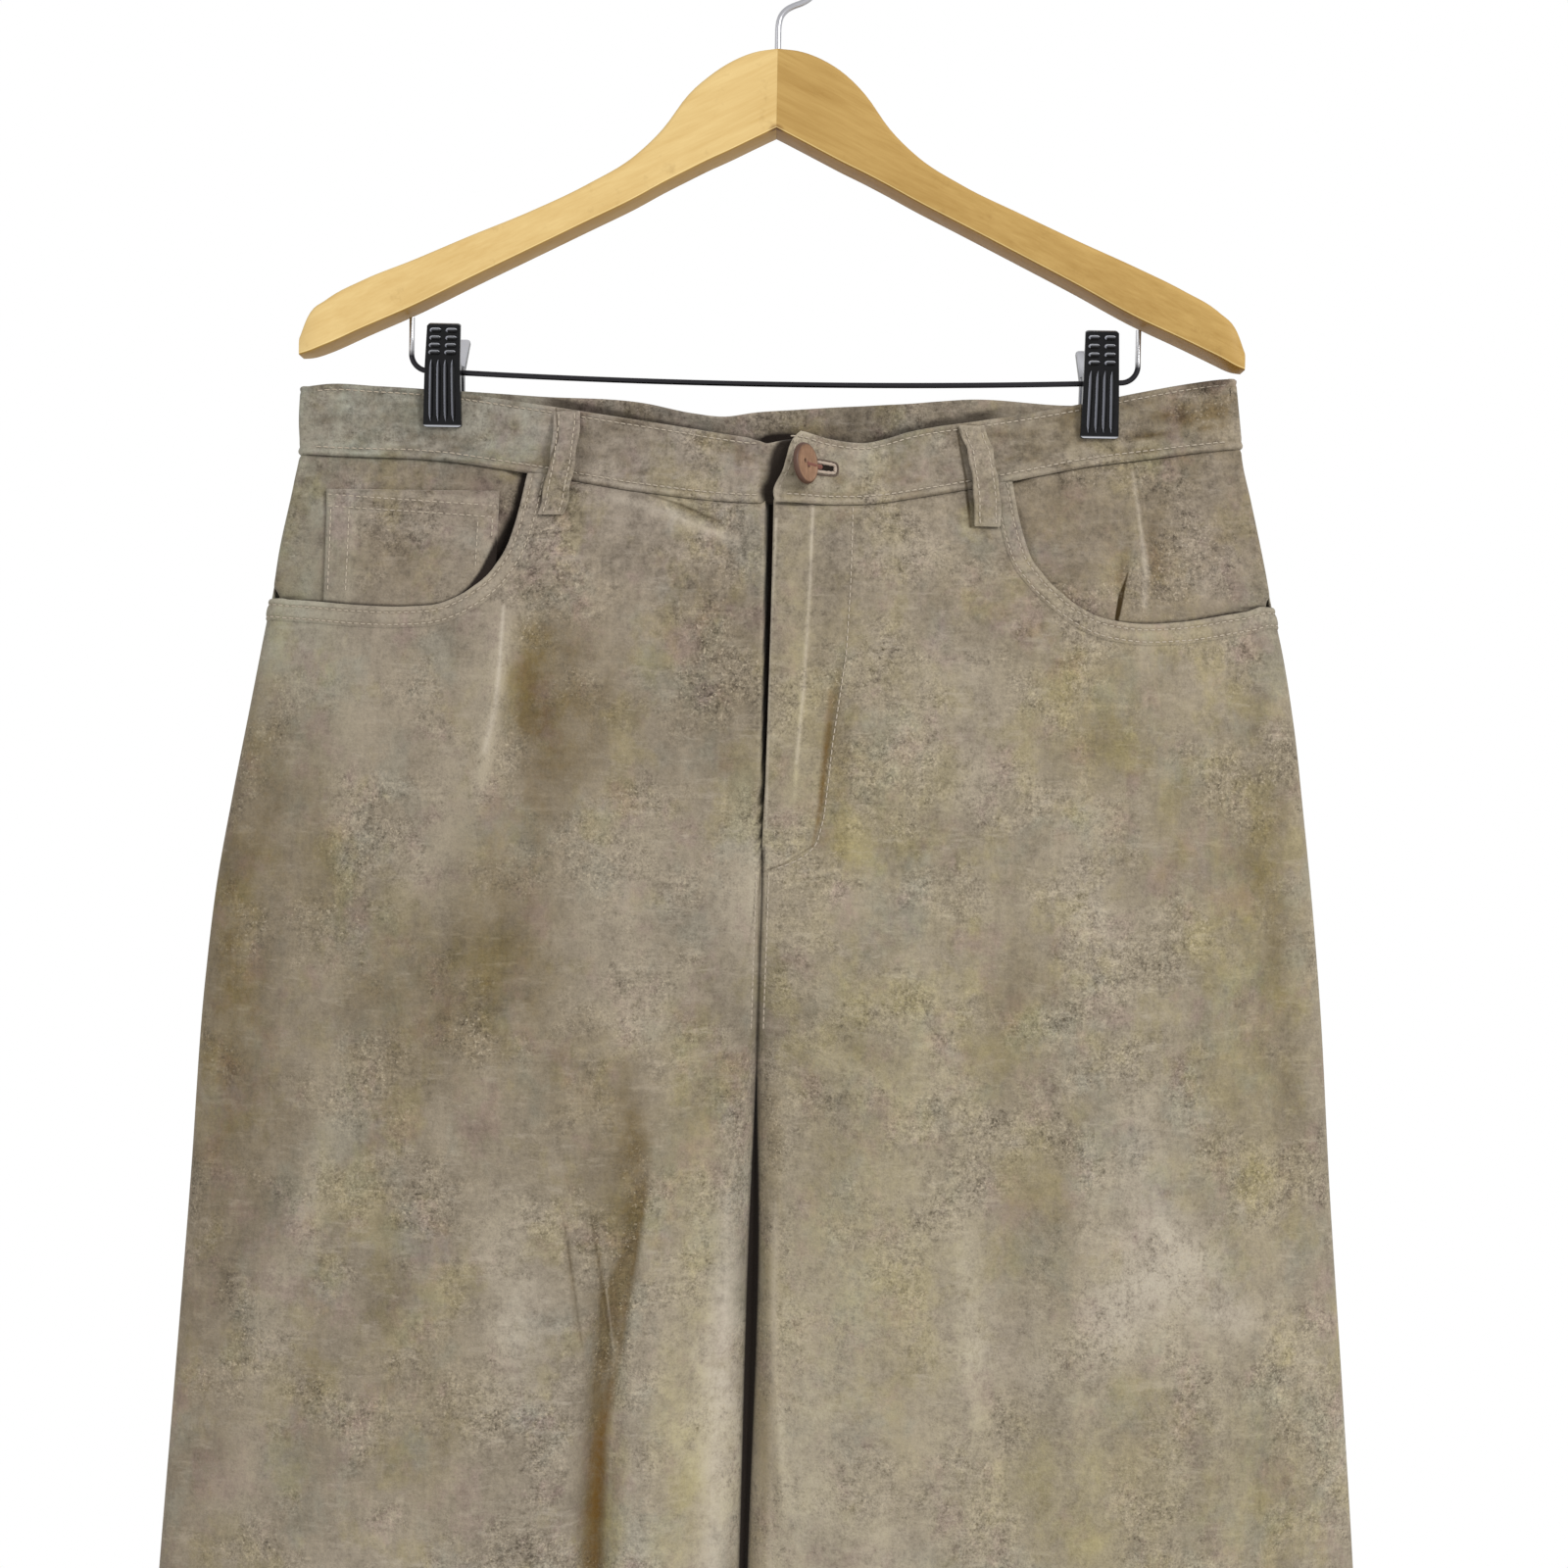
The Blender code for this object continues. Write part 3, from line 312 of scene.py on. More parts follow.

# Patches of the nap, some of them painted light and shade: place, half width, half height, lean to
# the right per mm of height, and shares of dust, gold and dark, with columns x, z, wide, tall,
# lean, dust, gold, dark
FRONT_PATCHES = (
    # Broad tones of the front, mostly painted shade darker at the top and the outer edges, and painted
    # light lower down on the right
    (-262, -520, 44, 330, 0, 0, 0, 0.58),
    (-110, -400, 110, 130, 0, 0, 0, 0.3),
    (-150, -540, 90, 70, 0, 0, 0.1, 0.2),
    (110, -320, 130, 90, 0, 0, 0, 0.27),
    (240, -470, 40, 130, 0, 0, 0, 0.2),
    (13, -259, 9, 17, 0, 0.45, 0, 0),
    (-71, -745, 7, 60, 0, 0, 0.9, 0),
    (120, -700, 130, 130, 0, 0.3, 0, 0),
    (12, -720, 26, 90, 0, 0.65, 0, 0),
    # Left half of the front
    (-127, -352, 12, 28, 0, 0.5, 0, 0),
    (-138, -408, 15, 30, 0.15, 0.5, 0, 0),
    (-152, -455, 20, 28, 0.2, 0.5, 0, 0),
    (-66, -462, 32, 42, 0, 0.45, 0, 0),
    (-110, -653, 15, 25, 0, 0.85, -0.1, 0),
    (-112, -608, 14, 18, 0, 0.5, 0, 0),
    (-213, -630, 10, 55, 0.2, 0.45, 0, 0),
    (-238, -735, 12, 50, 0.1, 0.4, 0, 0),
    (-198, -560, 12, 36, 0.1, 0.3, 0, 0),
    (-219, -295, 10, 26, 0, 0.5, -0.3, 0),
    (-228, -350, 14, 34, 0.1, 0.45, -0.3, 0),
    (-213, -312, 6, 14, 0, 0.5, 0, 0),
    (-92, -366, 20, 38, 0, 0, 0.2, 0.55),
    (-111, -356, 8, 22, 0, 0, 0.7, 0.3),
    (-121, -474, 15, 48, 0, 0, 0.2, 0.4),
    (-76, -545, 22, 26, 0.1, 0, 0.1, 0.25),
    (-155, -512, 40, 32, 0, 0, 0.1, 0.35),
    (-244, -500, 13, 60, 0, 0, 0.45, 0.3),
    (-238, -395, 12, 36, 0, 0, 0.2, 0.25),
    (-70, -600, 13, 48, 0, 0, 0.3, 0.45),
    (-34, -560, 14, 40, 0.1, 0.1, 0.5, 0),
    (-30, -640, 15, 60, 0, 0.3, 0.5, 0),
    (-34, -740, 14, 50, 0, 0.2, 0.6, 0),
    (-20, -670, 5.5, 32, 0, 0.6, -0.1, 0),
    (-10.5, -668, 5, 36, 0, 0.45, -0.3, 0),
    (-22, -725, 8, 40, 0.1, 0.5, 0.2, 0),
    (-146, -690, 24, 60, 0, 0, 0.25, 0.3),
    (-198, -700, 16, 40, 0, 0.1, 0.1, 0.2),
    (-26, -340, 22, 52, 0, 0, 0.1, 0.25),
    (-12, -452, 9, 26, 0, 0.6, 0, 0),
    (-42, -508, 28, 9, 0, 0.3, 0, 0),
    (-180, -370, 28, 26, 0, 0.2, 0, 0),
    (-205, -440, 16, 34, 0, 0, 0.3, 0.25),
    # Right half of the front
    (16, -355, 11, 72, 0.02, 0.45, 0.3, 0),
    (33, -390, 8, 42, 0, 0, 0.4, 0.4),
    (52, -335, 22, 24, 0, 0.3, 0, 0),
    (95, -362, 24, 18, 0, 0.5, -0.2, 0),
    (91, -398, 22, 16, 0, 0.4, -0.2, 0),
    (154, -370, 24, 26, 0, 0, 0.8, 0.1),
    (54, -420, 26, 24, 0, 0, 0.5, 0),
    (153, -450, 12, 46, 0, 0.4, -0.2, 0),
    (204, -428, 22, 34, 0, 0, 0.2, 0.3),
    (231, -438, 10, 30, 0, 0, 0.2, 0.4),
    (113, -514, 15, 46, 0, 0, 0.1, 0.4),
    (135, -606, 10, 40, 0, 0, 0.1, 0.4),
    (58, -518, 38, 40, 0, 0.1, 0.4, 0),
    (52, -620, 26, 60, 0, 0.15, 0.5, 0),
    (221, -478, 22, 44, 0, 0, 0.45, 0.05),
    (226, -548, 20, 50, 0, 0, 0.45, 0.1),
    (151, -727, 42, 38, 0, 0, 0.5, 0.05),
    (230, -726, 22, 50, 0, 0, 0.4, 0.1),
    (168, -568, 10, 30, 0, 0.45, -0.2, 0),
    (184, -620, 20, 26, 0, 0.9, -0.3, 0),
    (164, -648, 16, 18, 0, 0.6, -0.2, 0),
    (212, -647, 14, 13, 0, 0.6, -0.3, 0),
    (113, -664, 13, 18, 0, 0.6, -0.3, 0),
    (64, -757, 16, 20, 0, 0.5, 0, 0),
    (46, -292, 30, 10, 0, 0.35, 0, 0),
    (4, -700, 6, 90, 0, 0, 0.1, 0.3),
    # Facings, coin pocket and waistband
    (150, -262, 14, 8, 0, 0.4, 0, 0),
    (214, -298, 14, 24, 0, 0.35, -0.3, 0),
    (-141, -298, 11, 22, 0, 0.35, 0, 0),
    (-176, -304, 24, 16, 0, 0, 0.1, 0.25),
    (-128, -239, 24, 5, 0, 0.55, -0.6, 0),
    (-136, -250, 30, 5, 0, 0.1, -0.6, 0.1),
    (-189, -239, 9, 5, 0, 0.5, 0, 0),
    (-76, -246, 14, 6, 0, 0, 0, 0.3),
    (196, -232, 26, 12, 0, 0, 0.1, 0.55),
    (132, -246, 22, 12, 0, 0, 0.1, 0.25),
    (24, -262, 22, 14, 0, 0.6, 0, 0),
    # Lower legs
    (-180, -860, 34, 40, 0, 0.5, 0, 0),
    (-90, -980, 30, 60, 0, 0.3, 0, 0),
    (-220, -1060, 30, 60, 0, 0, 0.3, 0.35),
    (-130, -1180, 46, 50, 0, 0, 0.4, 0.2),
    (120, -870, 36, 36, 0, 0.5, 0, 0),
    (220, -960, 26, 60, 0, 0, 0.3, 0.3),
    (90, -1080, 40, 60, 0, 0.1, 0.4, 0.2),
    (190, -1200, 36, 44, 0, 0.45, 0, 0),
)
BACK_PATCHES = (
    (-110, -420, 50, 60, 0, 0.45, 0, 0),
    (120, -430, 54, 56, 0, 0.4, 0.2, 0),
    (0, -330, 60, 36, 0, 0, 0.2, 0.3),
    (-190, -560, 34, 60, 0, 0, 0.3, 0.35),
    (200, -600, 32, 70, 0, 0, 0.3, 0.3),
    (-130, -760, 34, 60, 0.1, 0.5, 0, 0),
    (130, -800, 30, 50, -0.1, 0.55, 0, 0),
    (-70, -960, 30, 60, 0, 0, 0.4, 0.25),
    (210, -1000, 30, 70, 0, 0, 0.4, 0.25),
    (-210, -1100, 34, 60, 0, 0.4, 0, 0),
    (90, -1160, 40, 50, 0, 0.35, 0.1, 0),
)
PATCHES = {FRONT: FRONT_PATCHES, BACK: BACK_PATCHES}

# Share of gold everywhere on the left and on the right
GOLD_LEFT, GOLD_RIGHT = 0.1, 0.3

# Fine lines of the front, painted as wear, painted highlights and painted shade: from, to, half
# width at both ends, softness and strength, with columns x1, z1, x2, z2, wide1, wide2, soft, strength
PAINTED_SHADE_LINES = (
    # Painted shadow beside the loops, at the fly's top and end, and on the right facing
    (86.5, -238.8, 90.7, -261.5, 0.4, 0.6, 0.7, 0.8),
    (90.7, -261.5, 93.1, -284.5, 0.6, 0.7, 0.9, 0.8),
    (-100.3, -231.8, -98.5, -246.6, 0.3, 0.35, 0.8, 0.8),
    (-98.5, -246.6, -101.5, -256.5, 0.35, 0.5, 0.8, 0.8),
    (-101.5, -256.5, -107, -277.2, 0.6, 0.5, 1, 0.7),
    (-57, -272.5, -41, -277.4, 0.1, 0.5, 1.4, 0.8),
    (-41, -277.4, -22, -285.4, 0.5, 0.3, 1.4, 1),
    (-0.6, -439.5, -1.7, -456, 0.5, 0.3, 0.8, 0.7),
    (-1.7, -456, -0.7, -530, 0.3, 0.3, 0.8, 0.5),
    (22.5, -433.1, 9.1, -441.7, 0.3, 0.35, 0.9, 0.6),
    (9.1, -441.7, -0.6, -445.6, 0.35, 0.3, 0.9, 0.6),
    (166.8, -304, 163.2, -315.6, 0.1, 1.3, 0.8, 1.3),
    (163.2, -315.6, 161, -326.5, 1.3, 1, 0.8, 1.5),
    # Painted shade in the left leg's fine creases
    (-88.4, -603.6, -84.1, -627.8, 0.1, 0.4, 1.2, 0.4),
    (-84.1, -627.8, -78.7, -663.7, 0.4, 0.2, 1.2, 0.4),
    (-76.2, -600, -69.7, -637.8, 0.1, 0.4, 1.2, 0.45),
    (-69.7, -637.8, -66, -668, 0.4, 0.3, 1.2, 0.45),
    (-66, -668, -67.5, -690, 0.3, 0.2, 1.4, 0.3),
)
BROWN_SHADE_LINES = (
    # Painted brown shade on the right facing, beside the fly's stitches, then in the left leg's deep
    # crease
    (166.8, -292, 163.2, -308, 0.6, 1.6, 5, 0.4),
    (29.5, -362, 28, -386.7, 0.4, 1, 3, 0.5),
    (28, -386.7, 26.2, -414, 1, 0.8, 2.6, 0.7),
    (26.2, -414, 22.5, -433.1, 0.8, 0.3, 2, 0.6),
    (-50.8, -590, -57, -631, 0.3, 0.4, 3, 0.25),
    (-57, -631, -61.6, -661, 0.4, 0.5, 3, 0.3),
    (-61.6, -661, -65.5, -682, 0.5, 1.2, 3.6, 0.4),
    (-65.5, -682, -70.5, -711, 1.2, 2.8, 4.2, 0.75),
    (-70.5, -711, -72, -745, 2.8, 3.4, 4.6, 1),
    (-72, -745, -73, -900, 3.4, 1, 5.5, 0.7),
)
WEAR_AND_HIGHLIGHT_LINES = (
    # Worn places under the waistband beside the fly, below the left pocket, on the fly and on the
    # right facing, and painted highlights beside the fine crease and beside the legs' gap
    (-74, -273.8, -46.9, -281.4, 0.3, 1.6, 4.5, 0.4),
    (-46.9, -281.4, -16, -294.5, 1.6, 2, 5.5, 0.5),
    (-121, -326, -121.4, -350, 0.5, 0.6, 1.8, 0.8),
    (-121.4, -350, -122.7, -371, 0.6, 0.7, 2, 0.8),
    (-122.7, -371, -127.2, -392, 0.7, 0.9, 2.8, 0.6),
    (-68.4, -637.8, -64.8, -668, 0.1, 0.1, 1.2, 0.35),
    (20, -278.5, 19.4, -312, 0.4, 0.4, 1.4, 0.6),
    (19.4, -312, 17.4, -360, 0.4, 0.4, 1.6, 0.5),
    (17.4, -360, 14.5, -395, 0.4, 0.4, 2, 0.5),
    (3.3, -284, 1.4, -350, 0.4, 0.4, 1.4, 0.65),
    (1.4, -350, 1.2, -425, 0.4, 0.3, 1.4, 0.65),
    (169.8, -256.6, 172.6, -276.4, 0.3, 0.5, 2.4, 0.5),
    (172.6, -276.4, 175.5, -302.8, 0.5, 1, 2.4, 0.6),
    (175.5, -302.8, 174.2, -319.3, 1, 0.8, 2.8, 0.5),
    (-13.5, -590, -14, -632.7, 0.5, 3.5, 8, 0.4),
    (-14, -632.7, -19, -742, 3.5, 4.5, 9, 0.6),
    (-19, -742, -21, -900, 4.5, 2, 9, 0.5),
    (8.5, -600, 9, -780, 0.8, 0.8, 4, 0.4),
)

# Belt loops: width, wall, rise of the ends and how much further the middle stands off
LOOP_WIDTH = 12.3
LOOP_WALL = 1.6
LOOP_BASE = 1.4
LOOP_CLEAR = 2.8

# The five loops, with columns name, side, x_top, z_top, x_bottom, z_bottom, and how far the
# middle bows to the right
LOOPS = (
    ("belt_loop_front_left", FRONT, -94.5, -234, -100.5, -282.5, 2.2),
    ("belt_loop_front_right", FRONT, 93.2, -237.5, 100.8, -284.5, 1.4),
    ("belt_loop_back_left", BACK, -104, -227, -104, -276, 0),
    ("belt_loop_back_middle", BACK, 0, -230, 0, -279, 0),
    ("belt_loop_back_right", BACK, 104, -223, 104, -273, 0),
)

# Wooden arms: outline of each arm by distance from the middle
ARM_COLUMNS = ("x", "left_top", "left_bottom", "right_top", "right_bottom")
ARM = (
    (0.15, -57.2, -95.6, -57.2, -95.6),
    (11, -59.2, -101.1, -58.5, -101.1),
    (22, -64.1, -106.8, -62.7, -106.8),
    (32, -71.1, -111.7, -69.2, -112),
    (42, -80.6, -117.1, -79.2, -116.9),
    (53, -96.3, -123.2, -94.6, -122.7),
    (66, -109.8, -131, -107.7, -129.9),
    (88, -124.5, -142.9, -122.2, -141.5),
    (115, -139, -157.6, -135.9, -156),
    (142, -151.8, -172.4, -149.4, -170.8),
    (168, -164.7, -187, -162, -185.8),
    (190, -175.2, -198.2, -173.6, -196.8),
    (206, -185.2, -206.6, -184, -205.1),
    (214.5, -193.6, -210.2, -193.3, -209.6),
    (218, -202.5, -211, -202, -210.6),
)
ARM_THICK = 21.0
ARM_SWEEP = 30.0
ARM_HALF = 218.0
ARM_TIP = 205.0

# Steel hook and rod
HOOK_WIRE = 1.5
HOOK_INNER = 18.0
HOOK_NECK = ((0.0, -56.8), (0.0, -45.5), (0.3, -42.0), (1.3, -39.0), (3.8, -36.2), (7.3, -34.4),
             (11.1, -33.1))
ROD_WIRE = 1.3
ROD_ENDS = (-169.3, 171.7)
ROD_Z = -214.0
ROD_SAG = 3.5
ROD_CORNER = 8.0
ROD_TOP = -189.2

# Clips: side profile of one half, with columns distance from the middle of the cloth and z. The
# second to fifth rows are its outer face.
CLIP_HALF = (
    (3.2, -241),
    (5.8, -241),
    (8.2, -226),
    (9.6, -213),
    (17.6, -193),
    (15.2, -192),
    (7, -209.8),
    (1.6, -211.6),
    (1.6, -216.2),
    (3.2, -219),
)
LEVER_FOOT, LEVER_TALL = -213.0, 20.0

# The four halves, with columns name, half, side, and how far the lever's top leans to the
# middle and lies below the profile's
CLIPS = (
    ("clip_left_front", LEFT, FRONT, 1.6, 2.4),
    ("clip_left_back", LEFT, BACK, 1.8, 4.2),
    ("clip_right_front", RIGHT, FRONT, 1, 0.5),
    ("clip_right_back", RIGHT, BACK, 1.5, 4.5),
)
CLIP_TOP_WIDTH, CLIP_BOTTOM_WIDTH = 15.4, 17.8
CLIP_TOP_Z, CLIP_TALL = -192.0, 49.0

# On a clip half's outer face, the heights of each rib's ends and of the grip bars
RIB_ENDS = (-238.6, -210.4)
BAR_ROWS = (-195.8, -199.6, -203.4, -207.0)

# Camera: where it stands, its lens, and how far the photograph leans
CAMERA_X, CAMERA_Z = 9.0, -405.0
CAMERA_AWAY = 1100.0
FOCAL_PIXELS = 2391.0
PHOTO_PIXELS = 1600.0
SENSOR = 36.0
LEAN = math.radians(1.0)

# A panel's grid: its first level row, the photograph's lower edge, and how many rows lie above
# the first, between them and below
LEVEL_Z, PHOTO_Z = -470.0, -780.0
FRONT_ROWS = (68, 118, 60)
BACK_ROWS = (46, 60, 46)

# Cloth that a quarter fold takes beyond the width it covers, as a share of its radius
FOLD_EXTRA = math.pi / 2 - 1.0

# Columns round a side fold, and cloth past the middle that a point there may use
SIDE_PLACES = 5
SKIN_REACH = 30.0

# Random heights, which ripple eases between
LATTICE_SIZE = 64
LATTICE = np.random.default_rng(5).uniform(-1.0, 1.0, (LATTICE_SIZE, LATTICE_SIZE))


def smooth(t):
    """Ease from 0 to 1 as t goes from 0 to 1: t squared times (3 - 2 t)."""
    t = np.clip(t, 0.0, 1.0)
    return t * t * (3.0 - 2.0 * t)


def read(table, columns, name, at):
    """Read one named column of a table, eased between its rows, at values of the first column."""
    rows = np.array(table)
    order = np.argsort(rows[:, 0])
    known = rows[order, 0]
    value = rows[order, columns.index(name)]
    slope = np.gradient(value, known)
    at = np.clip(at, known[0], known[-1])
    i = np.clip(np.searchsorted(known, at) - 1, 0, len(known) - 2)
    step = known[i + 1] - known[i]
    t = (at - known[i]) / step
    rise = value[i + 1] - value[i]
    bend_in = slope[i] * step - rise
    bend_out = rise - slope[i + 1] * step
    return value[i] + rise * t + t * (1.0 - t) * (bend_in * (1.0 - t) + bend_out * t)


def body(name, z):
    """One column of the body table at height z."""
    return read(BODY, BODY_COLUMNS, name, z)


def waist(name, x):
    """Height of a waist line at x."""
    return read(WAIST, WAIST_COLUMNS, name, x)


def leg_share(z):
    """0 where the halves are one body, 1 where each leg is a tube of its own."""
    return smooth((CROTCH_Z + CROTCH_TURN - z) / CROTCH_TURN) ** 1.5


def side_edge(half, z):
    """x of the side seam."""
    return body(HALF_NAME[half], z)


def inner_gap(half, z):
    """Distance of a leg's inner edge from the middle line."""
    gap = read(CENTRE, CENTRE_COLUMNS, HALF_NAME[half] + "_leg", z)
    return np.maximum(gap, SEAM_HALF) - SEAM_LAP


def inner_edge(half, z):
    """x of the centre seam, and of the leg's inner seam below the crotch."""
    return read(CENTRE, CENTRE_COLUMNS, "centre", z) + half * inner_gap(half, z)


def fold_height(side, x, z):
    """Sum of the large folds: depth times a bell across each, faded at both ends."""
    total = np.zeros(np.broadcast(x, z).shape)
    for z_top, z_bottom, x_top, x_mid, x_bottom, width, depth in FOLDS[side]:
        t = (z_top - z) / (z_top - z_bottom)
        middle = x_top * (1 - t) * (1 - 2 * t) + x_mid * 4 * t * (1 - t) + x_bottom * t * (2 * t - 1)
        fade = smooth(t / 0.3) * smooth((1.0 - t) / 0.3)
        total = total + depth * fade * np.exp(-((x - middle) / width) ** 2)
    return total


def turn(run, radius):
    """Distance in from the edge, and rise, after a run of cloth around a quarter fold."""
    angle = np.clip(run / radius, 0.0, math.pi / 2)
    past = np.maximum(run - radius * math.pi / 2, 0.0)
    return radius * (1.0 - np.cos(angle)) + past, radius * np.sin(angle)


def run_length(half, z, reach=0.0):
    """Length of cloth from the side seam to the inner edge, plus a reach past it."""
    radius = body("fold", z)
    width = abs(inner_edge(half, z) - side_edge(half, z)) + reach
    return width + FOLD_EXTRA * radius * (1.0 + leg_share(z))


def run_at(half, x, z):
    """Length of cloth from the side seam to x, for a place past the side fold."""
    return np.abs(x - side_edge(half, z)) + FOLD_EXTRA * body("fold", z)


def body_point(half, side, run, z, reach=0.0):
    """Point of the body surface after a run of cloth in from the side seam, at height z.

    The cloth turns a quarter fold at the side seam and, on a leg, at the inner seam, and swells
    between them to the body's depth. Near the clips the two layers are held together instead.
    """
    radius = body("fold", z)
    legs = leg_share(z)
    back_run = run_length(half, z, reach) - run
    from_side, side_rise = turn(run, radius)
    from_inner, inner_rise = turn(back_run, radius)
    turned = back_run - FOLD_EXTRA * radius - from_inner
    x = side_edge(half, z) - half * (from_side + legs * turned)
    depth = body(SIDE_NAME[side], z)
    side_swell = np.sin(np.clip(from_side / SIDE_SWELL, 0.0, 1.0) * math.pi / 2) ** 1.4
    inner_swell = np.sin(np.clip(from_inner / INNER_SWELL, 0.0, 1.0) * math.pi / 2) ** 1.2
    open_rise = side_rise * (1 - legs + legs * inner_rise / radius)
    swell = side_swell * (1 - legs + legs * inner_swell)
    loose = open_rise + (depth - radius) * swell + fold_height(side, x, z) * swell
    between = np.clip(np.abs(x) / PINCH_SPAN, 0.0, 1.0)
    half_stack = PINCH_HALF + PINCH_SPREAD * smooth((PINCH_EDGE - z) / 12.0)
    held = np.minimum(side_rise, half_stack)
    held = held + (depth - half_stack) * np.cos(between * math.pi / 2) ** 2
    grip = smooth((z - PINCH_TO) / (PINCH_FROM - PINCH_TO))
    rise = grip * held + (1.0 - grip) * loose
    y = HANG_Y + side * (SEAM_HALF + rise)
    return np.stack([x, y, z + 0.0 * x], axis=-1)


def unit(vectors):
    """Vectors scaled to a length of 1."""
    return vectors / np.linalg.norm(vectors, axis=-1, keepdims=True)


def body_normal(half, side, run, z, reach=0.0):
    """Unit normal of the body surface, pointing out of the garment."""
    step = 0.2
    along = body_point(half, side, run + step, z, reach) - body_point(half, side, run - step, z, reach)
    up = body_point(half, side, run, z + step, reach) - body_point(half, side, run, z - step, reach)
    normal = np.cross(along, up) * side * half
    normal[np.abs(run) < 0.01, 1] = 0.0
    at_inner = (np.abs(run_length(half, z, reach) - run) < 0.01) & (leg_share(z) > 0.999)
    normal[at_inner, 1] = 0.0
    return unit(normal)


def ripple(x, z, size, seed):
    """Smooth uneven heights from -1 to 1: lattice values a size apart, eased between."""
    gx = x / size + seed * 7.3
    gz = z / size + seed * 3.9
    ix = np.floor(gx).astype(int)
    iz = np.floor(gz).astype(int)
    tx = smooth(gx - ix)
    tz = smooth(gz - iz)
    left, right = ix % LATTICE_SIZE, (ix + 1) % LATTICE_SIZE
    below, above = iz % LATTICE_SIZE, (iz + 1) % LATTICE_SIZE
    low = LATTICE[left, below] * (1 - tx) + LATTICE[right, below] * tx
    high = LATTICE[left, above] * (1 - tx) + LATTICE[right, above] * tx
    return low * (1 - tz) + high * tz


def along_curve(x, z, curve, left, right):
    """Places near a curve through three points, and there a bell of the distance from it.

    The bell is exp(-(distance / reach) squared), with a reach to the left and one to the right
    of the curve, and fades over the first and last quarter of the curve's length.
    """
    x1, z1, x2, z2, x3, z3 = curve
    t = np.linspace(0.0, 1.0, 40)
    first, middle, last = (1 - t) * (1 - 2 * t), 4 * t * (1 - t), t * (2 * t - 1)
    curve_x = x1 * first + x2 * middle + x3 * last
    curve_z = z1 * first + z2 * middle + z3 * last
    reach = 3.0 * max(left, right)
    near = (x > curve_x.min() - reach) & (x < curve_x.max() + reach)
    near &= (z > curve_z.min() - reach) & (z < curve_z.max() + reach)
    px, pz = x[near][:, None], z[near][:, None]
    place = np.argmin((px - curve_x) ** 2 + (pz - curve_z) ** 2, axis=1)
    tangent_x, tangent_z = np.gradient(curve_x), np.gradient(curve_z)
    size = np.hypot(tangent_x, tangent_z)
    off_x, off_z = px[:, 0] - curve_x[place], pz[:, 0] - curve_z[place]
    along = (off_x * tangent_x[place] + off_z * tangent_z[place]) / size[place] ** 2
    across = (off_z * tangent_x[place] - off_x * tangent_z[place]) / size[place]
    across = -across if z1 < z3 else across
    at = np.clip((place + along) / (len(t) - 1), 0.0, 1.0)
    fade = smooth(at / 0.28) * smooth((1.0 - at) / 0.28)
    return near, fade * np.exp(-(across / np.where(across > 0.0, right, left)) ** 2)


def crease_field(side, x, z):
    """Height and tone of the creases: the sum of a bell along each one's curve."""
    height = np.zeros(x.shape)
    tone = np.zeros(x.shape)
    for *curve, left, right, rise, shade in CREASES[side]:
        near, bell = along_curve(x, z, curve, left, right)
        height[near] += rise * bell
        tone[near] += shade * bell
    return height, tone


def buckles(side, x, z):
    """Small uneven hills of the hide, longer than wide."""
    shift = 40.0 if side == BACK else 0.0
    hills = 0.8 * ripple(x + shift, z * 0.42, 38.0, 1) + 0.3 * ripple(x + shift, z * 0.6, 15.0, 2)
    return hills + 0.12 * ripple(x + shift, z, 6.0, 3)


def paint_of(side, x, z, tone):
    """Shares of dust, gold, dark and black at each place: the patches, warped, plus the creases' tone,
    whose darker troughs are painted shade.
    """
    wx = x + 8.0 * ripple(x, z, 30.0, 4) + 3.5 * ripple(x, z, 11.0, 5) + 1.5 * ripple(x, z, 4.5, 12)
    wz = z + 10.0 * ripple(x, z, 32.0, 6) + 4.0 * ripple(x, z, 12.0, 7) + 1.5 * ripple(x, z, 4.5, 13)
    dust = np.maximum(tone, 0.0)
    # Painted shade: the creases' troughs go into the dark share
    dark = np.maximum(-tone, 0.0)
    gold = GOLD_LEFT + (GOLD_RIGHT - GOLD_LEFT) * smooth((x + 12.0) / 24.0)
    for px, pz, wide, tall, lean, dusty, golden, deep in PATCHES[side]:
        across = (wx - px - lean * (wz - pz)) / wide
        share = np.exp(-(across ** 2 + ((wz - pz) / tall) ** 2) ** 1.15 * 0.8)
        dust = dust + dusty * share
        gold = gold + golden * share
        dark = dark + deep * share
    return np.stack([dust, gold, dark, np.zeros(x.shape)], axis=-1)


def hide(half, side, run, z, out, under, reach=0.0):
    """Outer points, inner points and paint of a grid of cloth.

    Its outer face lies the distance out from the body surface, and its inner face the distance
    under. Creases and buckles lift both.
    """
    base = body_point(half, side, run, z, reach)
    normal = body_normal(half, side, run, z, reach)
    x, z = base[..., 0], base[..., 2]
    height, tone = crease_field(side, x, z)
    edge = smooth(np.abs(x - side_edge(half, z)) / 20.0)
    legs = leg_share(z)
    edge = edge * (1 - legs + legs * smooth(np.abs(x - inner_edge(half, z)) / 9.0))
    low = smooth((PINCH_FROM + 30.0 - z) / 60.0)
    lift = (height + buckles(side, x, z) * low) * edge
    outer = base + (out + lift)[..., None] * normal
    inner = base + (under + lift)[..., None] * normal
    return outer, inner, paint_of(side, x, z, tone)


def border(rows, columns):
    """Indices round the edge of a grid, in order."""
    top = np.arange(columns)
    right = np.arange(1, rows) * columns + columns - 1
    bottom = (rows - 1) * columns + np.arange(columns - 2, -1, -1)
    left = np.arange(rows - 2, 0, -1) * columns
    return np.concatenate([top, right, bottom, left])


def grid_quads(rows, columns):
    """Index quads of a grid of points."""
    corner = (np.arange(rows - 1)[:, None] * columns + np.arange(columns - 1)).ravel()
    return np.stack([corner, corner + 1, corner + columns + 1, corner + columns], axis=1)


